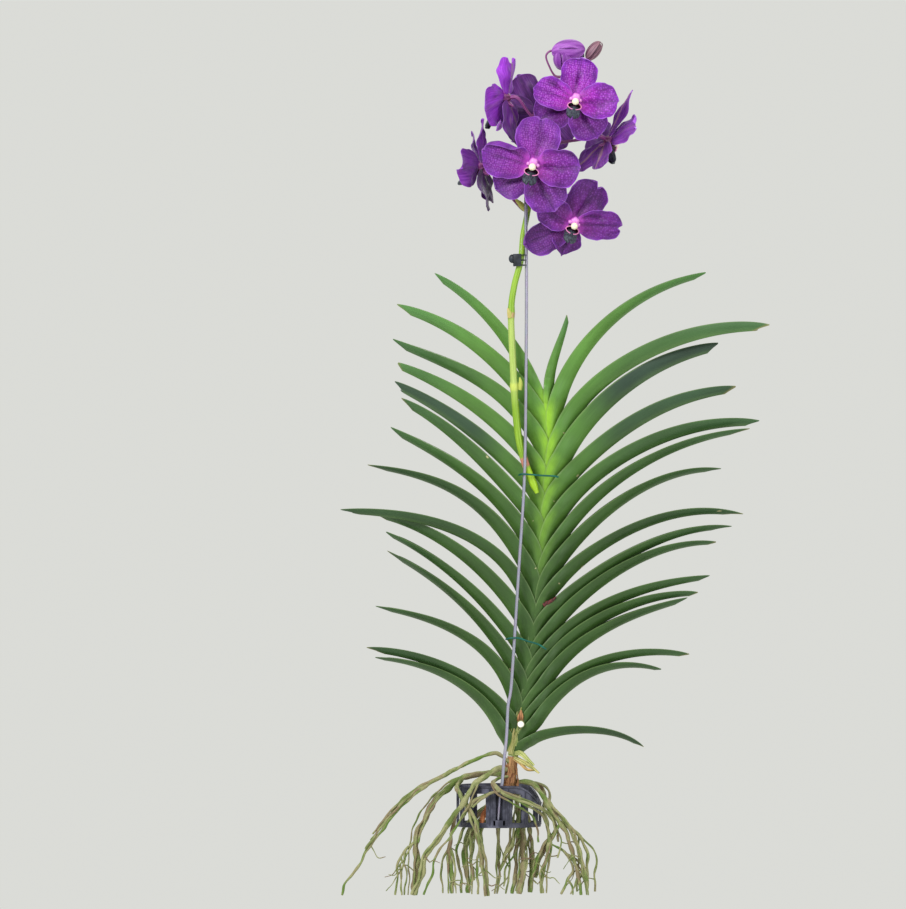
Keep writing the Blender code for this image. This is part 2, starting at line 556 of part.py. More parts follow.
def make_buds(large, small):
    tilt = Matrix.Rotation(math.radians(8), 4, "Y")
    pieces = [ball(at(18, -29, 4), (15.0, 13.0, 11.5), tilt)]
    pieces.append(ball(at(12, -24, 5), (10.0, 11.0, 11.0)))
    pieces.append(ball(at(21, -36, 4), (11.0, 10.0, 6.5), tilt))
    stalk = [at(13.9, -4.7, 8.5), at(5, -6, 5), at(-1, -16, 4), at(-4, -26, 4), at(1, -31, 4), at(8, -29, 4)]
    pieces.append(solid_tube(smooth_route(stalk, 6 * MM), (1.3, 1.3)))
    fuse("bud_large", pieces, large)
    lean = Matrix.Rotation(math.radians(38), 4, "Y")
    pieces = [ball(at(44, -31, 4), (6.0, 6.0, 10.5), lean)]
    stalk = [at(17.6, -5, 11), at(28, -8, 8), at(36, -18, 5), at(41, -27, 4)]
    pieces.append(solid_tube(smooth_route(stalk, 6 * MM), (1.3, 1.5)))
    fuse("bud_small", pieces, small)


def make_wire(finish):
    """The support wire from the basket's socket up past the leaves, and the hook that it ends in."""
    hook_middle = HOOK_RADIUS - WIRE_RADIUS
    hook_foot = hook_middle + HOOK_TAIL
    points = smooth_route([at(*stop) for stop in WIRE_ROUTE], 30 * MM)
    points += [at(-HOOK_RADIUS, hook_foot + 5), at(-HOOK_RADIUS, hook_foot + GAP)]
    tube("hanging_wire", points, (WIRE_RADIUS, WIRE_RADIUS), finish)
    points = [at(-HOOK_RADIUS, hook_foot)]
    for step in range(11):
        angle = math.pi * step / 10
        points.append(at(-HOOK_RADIUS * math.cos(angle), hook_middle - HOOK_RADIUS * math.sin(angle)))
    points.append(at(HOOK_RADIUS, hook_foot))
    tube("wire_hook", points, (WIRE_RADIUS, WIRE_RADIUS), finish)


def make_ties(finish):
    upper = [at(-31, 393, 15), at(-28, 392, 21.8), at(-20, 392.5, 21.5), at(-8, 393.5, 18),
             at(3, 394, 15.5), at(8, 395, 12.5)]
    lower = [at(-44, 557, 15), at(-41, 556, 20.5), at(-36, 555.5, 21.5), at(-30, 556, 20), at(-22, 559, 17),
             at(-12, 562, 15), at(-4, 567, 12.5)]
    for name, stops in (("tie_upper", upper), ("tie_lower", lower)):
        tube(name, smooth_route(stops, 5 * MM), (TIE_RADIUS, TIE_RADIUS), finish, fineness=0)


def make_clip(name, place, half_wide, half_deep, levels, wing, finish):
    """A small sprung clip: open jaws round wire and stalk, with a rounded grip on one side."""
    centre = at(*place)
    pieces = []
    for level in levels:
        jaw = []
        for step in range(7):
            angle = math.radians(-128 + 256 * step / 6)
            jaw.append(centre + Vector((half_wide * math.cos(angle) * wing, half_deep * math.sin(angle), level)) * MM)
        pieces.append(solid_tube(jaw, (0.8, 0.8), fineness=0))
    tall = levels[-1] - levels[0] + 2.4
    pieces.append(block(centre + Vector((wing * (half_wide + 0.7), 0, 0)) * MM, (2.2, 4.4, tall)))
    pieces.append(block(centre + Vector((wing * (half_wide - 2.4), -half_deep - 0.2, 0)) * MM, (8, 1.8, tall)))
    pieces.append(ball(centre + Vector((wing * (half_wide + 2.6), -1, 1.4)) * MM, (3.8, 3.4, 4.4)))
    return fuse(name, pieces, finish)


def rim_drop(angle):
    """How far the rim sags at an angle from the front, in degrees to the right."""
    return RIM_DIP * ease(22, 78, angle) * (1 - ease(95, 140, angle))


def basket_point(angle, below, radius=BASKET_RADIUS - BASKET_WALL / 2):
    turn = math.radians(angle)
    return at(BASKET_ACROSS + radius * math.sin(turn), below, radius * math.cos(turn) - BASKET_BACK)


def band(heights, tall, radius=BASKET_RADIUS - BASKET_WALL / 2):
    """A flat hoop of the basket, whose top lies at heights(angle)."""
    shape = bmesh.new()
    layers = []
    for angle in range(-180, 180, 15):
        top = heights(angle)
        layers.append([shape.verts.new(basket_point(angle, below, radius + side * BASKET_WALL / 2))
                       for side, below in ((1, top), (-1, top), (-1, top + tall), (1, top + tall))])
    for lower, upper in zip(layers, layers[1:] + layers[:1]):
        for index in range(4):
            after = (index + 1) % 4
            shape.faces.new((lower[index], lower[after], upper[after], upper[index]))
    bmesh.ops.recalc_face_normals(shape, faces=shape.faces[:])
    return from_bmesh("band", shape)


def make_basket(finish):
    pieces = [band(lambda angle: BASKET_TOP + rim_drop(angle), RIM_BAND),
              band(lambda angle: BASKET_FLOOR - FLOOR_BAND, FLOOR_BAND)]
    for rib in range(BASKET_RIBS):
        angle = 360 * (rib + 0.5) / BASKET_RIBS - 180
        top = BASKET_TOP + rim_drop(angle) + 2
        middle = basket_point(angle, (top + BASKET_FLOOR - 2) / 2)
        size = (RIB_WIDTH, BASKET_WALL * 0.9, BASKET_FLOOR - 2 - top)
        pieces.append(block(middle, size, math.radians(angle)))
    for angle in (20, 65, 110, 155):
        pieces.append(block(at(BASKET_ACROSS, BASKET_FLOOR - 1.5, -BASKET_BACK),
                            (2.6, 2 * BASKET_RADIUS - 2.4, 2.6), math.radians(angle)))
    for side in (-1, 1):
        pieces.append(block(at(BASKET_ACROSS + side * 4.9, 727, 23.4), (3.0, 9.0, 32)))
    pieces.append(block(at(BASKET_ACROSS, 741, 23.4), (12.6, 9.0, 7.6)))
    pieces.append(block(at(BASKET_ACROSS, 727, 19.6), (9.8, 1.4, 32)))
    return fuse("basket", pieces, finish)


def make_bark(finish):
    """A slip of bark that stands on the basket's floor: a ragged tapering wedge."""
    rings = []
    for right, below, front, wide, deep in BARK_RINGS:
        rings.append([at(right + side * wide / 2, below, front + depth * deep / 2)
                      for side, depth in ((-1, -1), (1, -0.6), (0.8, 1), (-0.9, 0.8))])
    piece = loft(rings)
    piece.name = "bark_chip"
    piece.data.materials.append(finish)


def make_roots(finish):
    crown = [at(*stop) for stop in CROWN_ROUTE]
    pieces = [solid_tube(smooth_route(crown, 6 * MM), (7.0, 8.5), fineness=2)]
    for stops, start_radius, end_radius in ROOTS:
        route = smooth_route([at(*stop) for stop in stops], 17 * MM)
        pieces.append(solid_tube(route, (start_radius, end_radius)))
    return fuse("roots", pieces, finish)


def main():
    clear_scene()
    plant = bpy.data.collections.new(PLANT)
    bpy.context.scene.collection.children.link(plant)
    leaf_green = material("leaf green", (0.16, 0.30, 0.07), 0.42)
    stem_green = material("sheath green", (0.25, 0.42, 0.10), 0.45)
    spike_green = material("spike green", (0.45, 0.58, 0.14), 0.45)
    petal_violet = material("petal violet", (0.20, 0.03, 0.36), 0.5)
    bud_violet = material("bud violet", (0.28, 0.10, 0.40), 0.5)
    bud_dusky = material("bud dusky pink", (0.34, 0.20, 0.28), 0.5)
    root_olive = material("root olive", (0.36, 0.38, 0.20), 0.75)
    zinc = material("galvanised wire", (0.50, 0.50, 0.58), 0.35, 0.9)
    tie_green = material("tie green", (0.0, 0.16, 0.11), 0.4)
    basket_black = material("black plastic", (0.02, 0.02, 0.03), 0.45)
    bark_brown = material("bark", (0.36, 0.16, 0.07), 0.85)
    for leaf in LEAVES:
        make_leaf(leaf, leaf_green)
    make_stem(stem_green)
    make_spike(spike_green)
    for bloom in BLOOMS:
        make_bloom(bloom, petal_violet)
    make_buds(bud_violet, bud_dusky)
    make_wire(zinc)
    make_ties(tie_green)
    for clip in CLIPS:
        make_clip(*clip, basket_black)
    make_basket(basket_black)
    make_bark(bark_brown)
    make_roots(root_olive)


main()
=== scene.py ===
"""The looks of a vanda orchid in flower, whose small slotted basket hangs on a wire.

Points are worked out in millimetres, right of, behind and above the seat of the hanging hook, and become
metres as each mesh is made. The tables of places from LEFT_LEAVES to TIES are the solids' own. The tables of
looks stand by the functions that read them.
"""

import math
import random
from collections import namedtuple

import bmesh
import bpy
import numpy as np
from mathutils import Matrix, Vector


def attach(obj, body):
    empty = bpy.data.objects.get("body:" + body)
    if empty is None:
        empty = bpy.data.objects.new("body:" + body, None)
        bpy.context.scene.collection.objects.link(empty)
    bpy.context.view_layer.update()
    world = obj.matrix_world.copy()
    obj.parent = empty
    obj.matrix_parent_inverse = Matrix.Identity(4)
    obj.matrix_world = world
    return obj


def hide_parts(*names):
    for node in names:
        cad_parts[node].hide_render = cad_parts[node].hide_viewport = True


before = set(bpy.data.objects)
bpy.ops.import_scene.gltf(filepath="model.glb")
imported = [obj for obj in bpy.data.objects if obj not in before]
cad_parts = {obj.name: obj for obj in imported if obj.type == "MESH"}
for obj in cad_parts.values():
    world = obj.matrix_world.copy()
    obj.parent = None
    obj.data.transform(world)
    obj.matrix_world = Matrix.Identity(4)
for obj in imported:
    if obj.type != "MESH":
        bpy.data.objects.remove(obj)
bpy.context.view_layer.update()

MM = 0.001
SEED = 12

# Sizes of the solids
LEAF_THICK = 1.3
FOLD_AT_BASE = math.radians(72)
LEAF_NARROWING = 0.55
STEM_FOOT = 674
STALK_CLEAR = 3.6
WIRE_RADIUS = 1.6
HOOK_RADIUS = 12
HOOK_TAIL = 12
BASKET_ACROSS, BASKET_BACK = -51, 14
BASKET_RADIUS, BASKET_WALL = 42, 2.2
BASKET_TOP, BASKET_FLOOR = 703, 745
RIM_BAND, FLOOR_BAND = 8, 5
RIM_DIP = 17
BASKET_RIBS = 14
RIB_WIDTH = 8

Leaf = namedtuple("Leaf", "name side joint third two_thirds tip width fold lean roll")
Bloom = namedtuple("Bloom", "name place turn pitch roll size stalk tepals")
Tepal = namedtuple("Tepal", "angle length width lean bend curl offset")

LEFT, RIGHT = -1, 1

# Each blade, from the crown down: its joint with the sheath, two points along its middle and its tip (right,
# below), then its flat half width, the fold of a half at the tip, how far the tip leans to the front, and its
# roll there.
LEFT_LEAVES = (
    ((-17, 303), (-43, 257), (-77, 220), (-116, 193), 16, 48, -8, 0),
    ((-18, 321), (-52, 281), (-98, 247), (-154, 225), 19, 60, 6, 0),
    ((-19, 345), (-58, 306), (-104, 281), (-158, 259), 18, 50, -6, 0),
    ((-22, 372), (-61, 334), (-105, 305), (-153, 283), 18, 55, 4, 8),
    ((-22, 400), (-62, 362), (-107, 330), (-157, 303), 17, 52, 8, 25),
    ((-23, 426), (-62, 383), (-104, 346), (-150, 318), 17, 55, 6, 0),
    ((-25, 452), (-64, 406), (-110, 373), (-160, 347), 17, 45, -8, 0),
    ((-26, 479), (-68, 427), (-119, 398), (-183, 384), 17, 26, 8, 0),
    ((-27, 508), (-70, 461), (-135, 437), (-210, 430), 15, 30, 12, 12),
    ((-29, 534), (-67, 489), (-119, 452), (-180, 432), 17, 42, -12, 10),
    ((-31, 563), (-69, 517), (-114, 479), (-164, 451), 15, 34, -8, 0),
    ((-34.5, 586.5), (-70, 538), (-113, 500), (-163, 470), 15, 30, -10, 0),
    ((-39, 606), (-72, 563), (-120, 538), (-175, 525), 15, 28, 6, 0),
    ((-42, 634), (-77, 601), (-126, 578), (-184, 568), 15, 36, 6, 14),
    ((-48.2, 647.4), (-77, 611), (-120, 587), (-175, 576), 14, 26, 4, 0),
)
CENTRE_LEAF = ((-1, 305), (3, 281), (11, 257), (18, 233), 11.5, 44, 2, 0)
RIGHT_LEAVES = (
    ((9, 314), (36, 264), (85, 220), (156, 192), 18, 40, -8, 0),
    ((14, 345), (62, 291), (138, 256), (219, 247), 19, 45, 14, 32),
    ((15, 370), (53, 322), (106, 286), (169, 265), 21, 56, -6, 14),
    ((15, 398), (56, 360), (114, 326), (186, 308), 19, 44, 8, 20),
    ((14, 424), (61, 382), (130, 351), (209, 342), 18, 36, -6, 20),
    ((13, 451), (61, 402), (125, 366), (200, 348), 15, 34, 6, 0),
    ((11, 475), (53, 432), (108, 399), (171, 388), 16, 28, -8, 0),
    ((9, 499), (57, 460), (122, 434), (193, 434), 15, 28, 6, 10),
    ((7, 523), (57, 485), (118, 455), (182, 446), 15, 36, 8, 0),
    ((4, 543), (50, 500), (107, 470), (166, 461), 15, 34, 5, 0),
    ((3, 562), (49, 526), (104, 505), (160, 495), 15, 36, 8, 6),
    ((0, 579), (46, 539), (100, 517), (148, 512), 15, 38, 5, 4),
    ((-4, 599), (39, 556), (90, 531), (138, 517), 15, 34, 3, 0),
    ((-9, 620), (33, 587), (84, 572), (139, 574), 14, 30, 6, 12),
    ((-12, 637), (24, 600), (66, 584), (111, 588), 14, 30, 4, 0),
    ((-18, 658), (13, 649), (56, 650), (93, 666), 12, 30, 10, 10),
)
LEAVES = (
    *(Leaf(f"leaf_left_{number:02d}", LEFT, *row) for number, row in enumerate(LEFT_LEAVES, 1)),
    Leaf("leaf_centre", RIGHT, *CENTRE_LEAF),
    *(Leaf(f"leaf_right_{number:02d}", RIGHT, *row) for number, row in enumerate(RIGHT_LEAVES, 1)),
)

STEM_LINE = (
    (-1, 335), (0, 369), (-5, 418), (-9, 466), (-11, 512),
    (-15, 548), (-20, 568), (-22, 588), (-26, 609), (-29, 630), (-35, 659), (-37, STEM_FOOT),
)

SPIKE_ROUTE = (
    (-13, 411, 12.5), (-20, 394, 13), (-25, 381, 13), (-31, 358, 15), (-35, 322, 17), (-37, 285, 18),
    (-39, 232, 18), (-36, 205, 17), (-29.2, 178, 16.4), (-27, 154, 12.5), (-22, 128, 12), (-17, 98, 12),
    (-8, 68, 11), (0, 38, 11), (8, 13, 11), (16, -4, 11),
)
SPIKE_NODES = ((-36.5, 305, 17.6), (-39, 231, 18))

WIRE_ROUTE = (
    (-52, 736.8, 22.8), (-50, 713, 22.8), (-48, 700, 22.6), (-46, 677, 22), (-43.5, 654, 20.8),
    (-42, 623, 19.6), (-39.3, 608, 19), (-37, 578, 18.5), (-31, 483, 18.5), (-25.6, 392, 19), (-24, 276, 19),
    (-23.7, 184, 17), (-24.4, 118, 17.5), (-23, 83, 12), (-18, 58, 5), (-13, 36, 1),
)

# Each bloom: the place of its middle, its turn to the right, its tilt up and its roll, its size, its stalk
# (depth of its joint with the spike, then its bends), and its five tepals in the order of ROLES. A tepal has
# its angle clockwise from the bloom's top, its length, its width and how far it leans to the front.
BLOOMS = (
    Bloom("bloom_front_top", (24.5, 21, 34), 3, 3, 12, 1, (18, (13, 23, 17)), ((-3, 46, 37, 0.05),
     (-85, 44, 34, 0.20), (78, 44, 37, 0.20), (-127, 44, 37, 0.02), (136, 43, 38, 0.05))),
    Bloom("bloom_front_middle", (-17.5, 86, 46), -3, 0, 12, 1.05, (100, (-18, 97.5, 23)),
     ((-2, 52, 45, 0.05), (-85, 53, 37, 0.24), (79, 48, 42, 0.20), (-133, 44, 38, 0.0),
     (142, 50, 42, 0.10))),
    Bloom("bloom_front_low", (22, 143, 30), 12, -8, 20, 1, (154, (-12, 151, 12), (8, 148, 17)),
     ((10, 50, 41, 0.04), (-82, 42, 35, 0.13), (71, 50, 32, 0.20), (-134, 53, 36, 0.04),
     (176, 34, 30, 0.0))),
    Bloom("bloom_left_top", (-44, 16, 12), -112, 0, 0, 1, (47, (-20, 33, 14)), ((0, 43, 36, -0.04),
     (-125, 42, 36, 0.50), (109, 44, 42, 0.18), (-160, 42, 32, -0.05), (170, 46, 32, -0.10))),
    Bloom("bloom_left_low", (-69.5, 85, 12), -104, -4, 0, 1, (129, (-29, 125.5, 11), (-44, 109, 11)),
     ((4, 48, 34, -0.03), (-22, 40, 26, 0.28), (94, 44, 40, 0.30), (-150, 42, 34, 0.0),
     (170, 46, 36, -0.04))),
    Bloom("bloom_right", (58, 59, 8), 125, -25, 0, 1, (62, (8, 61, 5), (34, 57, 4)), ((-18, 56, 27, 0.0),
     (-62, 43, 36, 0.06), (75, 42, 36, 0.10), (-170, 35, 28, 0.0), (139, 45, 34, 0.0))),
    Bloom("bloom_back", (-12, 30, -32), 172, 4, -55, 1, (57, (-8, 49, -8)), ((0, 40, 34, 0.05),
     (-80, 46, 38, 0.12), (83, 44, 32, 0.10), (-150, 40, 32, 0.05), (138, 40, 32, 0.05))),
)
# How far each tepal bends back along it and curls across it, and how far to the front it is set: the back
# sepal, the two petals and the two lower sepals
ROLES = (
    (-0.08, 0.05, -1.6), (-0.06, -0.04, 1.6), (-0.06, -0.04, 1.8), (-0.09, 0.04, -2.0), (-0.10, 0.04, -1.4),
)
PETALS, LOWER_SEPALS = (1, 2), (3, 4)

# Root routes: right, below, in front, then the radius at the start and at the end
ROOTS = (
    (((-41, 680, 2), (-50, 672, 7), (-58, 671, 9), (-70, 675, 12), (-87, 683, 14), (-113, 697, 14),
     (-141, 716, 12), (-157, 734, 10), (-176, 758, 8), (-192, 784, 6), (-203, 799, 5), (-208, 813, 4)),
     2.4, 1.5),
    (((-42, 688, 2), (-52, 686, 12), (-61, 691, 20), (-72, 699, 26), (-80, 708, 27), (-88, 721, 25),
     (-102, 742, 18), (-113, 758, 16), (-124, 775, 14), (-129, 795, 12), (-136, 812, 11)), 3.6, 2.6),
    (((-44, 694, -4), (-62, 691, -4), (-79, 694, -4), (-91, 697, -3), (-102, 706, -2), (-115, 719, 0),
     (-126, 738, 2), (-133, 756, 3), (-134, 786, 3), (-135, 813, 3)), 3.4, 4.0),
    (((-133, 758, 3), (-145, 768, 2), (-151, 780, 1), (-153, 797, 0), (-155, 813, 0)), 1.6, 1.2),
    (((-150, 782, 1), (-149, 797, 3), (-148, 813, 4)), 1.2, 1.1),
    (((-88, 697, -3), (-93, 704, 8), (-88, 714, 19), (-80, 727, 25), (-74, 740, 29), (-70, 754, 27),
     (-66.5, 771, 24), (-63, 790, 22), (-61.5, 813, 20)), 2.6, 1.6),
    (((-92, 728, 24), (-98, 745, 14), (-100, 765, 10), (-99, 790, 8), (-98, 811, 8)), 2.0, 2.8),
    (((-43, 706, -8), (-66, 728, -14), (-80, 746, -12), (-86, 768, -8), (-83, 793, -4), (-82, 811, -2)),
     2.2, 3.0),
    (((-44, 708, 0), (-62, 730, -2), (-74, 746, 0), (-80, 763, 2), (-78, 786, 4), (-79, 800, 5)), 1.8, 1.3),
    (((-42, 710, 0), (-60, 735, 5), (-70, 750, 8), (-71, 770, 8), (-73, 790, 6), (-72, 812, 6)), 2.0, 1.5),
    (((-40, 710, -6), (-47, 728, -6), (-51.5, 744, -4), (-51, 778, -7), (-50, 790, -6), (-53, 812, -6)),
     1.8, 1.4),
    (((-50, 789, -6), (-46, 776, 0), (-41, 762, 4), (-40, 748, 2), (-38, 730, -3), (-38, 708, -3)),
     1.3, 1.3),
    (((-37, 706, -4), (-32, 726, -10), (-28.5, 744, -13.5), (-26, 770, -9), (-27, 788, -4),
     (-31, 812, -3)), 3.2, 3.6),
    (((-31, 730, -9), (-33, 760, -14), (-34, 785, -12), (-38, 812, -8)), 2.2, 2.6),
    (((-36, 704, -8), (-24, 730, -16), (-19, 752, -18), (-18, 775, -16), (-18, 795, -14), (-19, 811, -12)),
     2.2, 2.4),
    (((-35, 700, -6), (-20, 701, -8), (-9, 712, -2), (2, 729, 2), (9, 740, 2), (17, 753, 2), (22, 767, 1),
     (25, 784, 0), (30, 801, 0), (31, 813, 0)), 3.2, 2.2),
    (((8, 739, 2), (18, 745, -3), (27, 751, -5), (33, 762, -6), (38, 775, -6), (37.5, 793, -6),
     (37, 810, -6)), 2.2, 1.7),
    (((-41, 694, 4), (-48, 695, 12), (-55, 698, 20), (-58, 700, 28), (-54, 706, 33), (-46, 711, 35),
     (-35, 716, 34), (-21, 724, 26), (-9, 731, 9), (-4, 741, 4), (-1, 760, 2)), 1.8, 1.6),
    (((-50, 708, 35), (-57, 709, 34), (-64, 712, 32), (-72, 716, 30), (-80, 724, 25)), 1.5, 1.5),
    (((11, 741, 2), (5, 750, 0), (-1, 760, -2), (-9, 776, -4), (-14, 796, -5)), 2.4, 1.8),
    (((-6, 724, -24), (-3, 745, -8), (0, 760, 0), (-4, 778, 3), (-8, 790, 4), (-8, 811, 4)), 2.2, 2.6),
    (((-36, 701, -12), (-21, 700.5, -27), (-10, 705, -35), (-4, 714, -34), (-6, 724, -24)), 2.2, 2.2),
    (((1, 762, 0), (12, 768, -3), (20, 779, -4), (23, 790, -3), (17, 800, 1), (11, 812, 3)), 1.3, 1.8),
    (((18, 798, 1), (22, 805, -2), (23, 813, -3)), 1.3, 1.1),
)
BARK_RINGS = ((-59.5, 717, 15, 2.5, 1.6), (-62, 723, 16, 5.5, 3), (-66.5, 732, 16.5, 6.5, 3.4),
              (-68.6, 741.9, 17, 4.5, 2.6))
CROWN_ROUTE = ((-37.5, STEM_FOOT + 0.6, 0), (-39, 690, 0), (-40, 700, -2), (-40, 712, -3))

CLIPS = (
    ("clip_low", (-28, 178.5, 16.6), 7.2, 5.0, (-5, 0, 5), LEFT),
    ("clip_high", (-21.4, 119.5, 14.4), 6.4, 7.2, (-2.2, 2.2), RIGHT),
)
TIES = {
    "tie_upper": ((-31, 393, 15), (-28, 392, 21.8), (-20, 392.5, 21.5), (-8, 393.5, 18), (3, 394, 15.5),
                  (8, 395, 12.5)),
    "tie_lower": ((-44, 557, 15), (-41, 556, 20.5), (-36, 555.5, 21.5), (-30, 556, 20), (-22, 559, 17),
                  (-12, 562, 15), (-4, 567, 12.5)),
}

# The photograph's frame: the pixel of the hook's seat, at one millimetre a pixel
FRAME_WIDTH, FRAME_HEIGHT = 906, 909
SEAT_PIXEL = (550, 82)
CAMERA_AWAY = 9000
FLOOR_LEVEL = -1150

# What a point carries where its part's table says nothing: no tint, and a span midway along
NO_TINT = (0, 0, 0)
MIDWAY = (0.5, 0, 0)


def at(right, below, front=0.0):
    """The point that lies these millimetres right of, below and in front of the hook's seat."""
    return np.array((right, -front, -below), float)


def blend(low, high, share):
    return low + (high - low) * share


def ease(low, high, value):
    """0 at low, 1 at high, and a smooth change between, for numbers or arrays."""
    share = np.clip((value - low) / (high - low), 0.0, 1.0)
    return share * share * (3 - 2 * share)


def unit(vectors):
    length = np.linalg.norm(vectors, axis=-1, keepdims=True)
    return vectors / np.maximum(length, 1e-12)


def triples(first, second, third=0.0):
    """Three numbers or arrays as one array of triples."""
    return np.stack(np.broadcast_arrays(first, second, third), axis=-1)


def stretched(values, count):
    """The values spread evenly over count places."""
    return np.interp(np.linspace(0, 1, count), np.linspace(0, 1, len(values)), values)


def distances(route):
    """How far along the route each of its points lies."""
    return np.concatenate(((0,), np.cumsum(np.linalg.norm(np.diff(route, axis=0), axis=1))))


def lattice(along, across):
    """Both numbers of every pair of values, as two grids."""
    return np.meshgrid(along, across, indexing="ij")


def rgb(red, green, blue):
    """A colour as the eye reads it, 0 to 255, as light."""
    shares = np.array((red, green, blue)) / 255
    light = np.where(shares <= 0.04045, shares / 12.92, ((shares + 0.055) / 1.055) ** 2.4)
    return (*light.tolist(), 1.0)


def smooth_route(stops, spacing):
    """Points about spacing apart on a smooth curve through the stops."""
    stops = [np.asarray(stop, float) for stop in stops]
    ends = [stops[0] * 2 - stops[1], *stops, stops[-1] * 2 - stops[-2]]
    points = []
    for before, start, end, after in zip(ends, ends[1:], ends[2:], ends[3:]):
        count = max(1, round(np.linalg.norm(end - start) / spacing))
        for step in range(count):
            t = step / count
            points.append(0.5 * (2 * start + (end - before) * t
                                 + (2 * before - 5 * start + 4 * end - after) * t**2
                                 + (3 * start - before - 3 * end + after) * t**3))
    return np.array([*points, stops[-1]])


def route_at(stops, spacing):
    """The same, through stops right of, below and in front of the hook's seat."""
    return smooth_route([at(*stop) for stop in stops], spacing)


def bezier(points, t):
    """Places on the curve of four points, and its headings there, at the shares t."""
    start, first, second, end = points
    t = np.asarray(t, float)[..., None]
    rest = 1 - t
    place = rest**3 * start + 3 * rest**2 * t * first + 3 * rest * t**2 * second + t**3 * end
    return place, unit(rest**2 * (first - start) + 2 * rest * t * (second - first) + t**2 * (end - second))


def ring_faces(rings, sides, joined=False):
    """The faces between closed rings of points. joined puts faces between the last ring and the first too."""
    faces = []
    for ring in range(rings if joined else rings - 1):
        for side in range(sides):
            here, there = ring * sides, (ring + 1) % rings * sides
            beyond = (side + 1) % sides
            faces.append((here + side, there + side, there + beyond, here + beyond))
    return faces


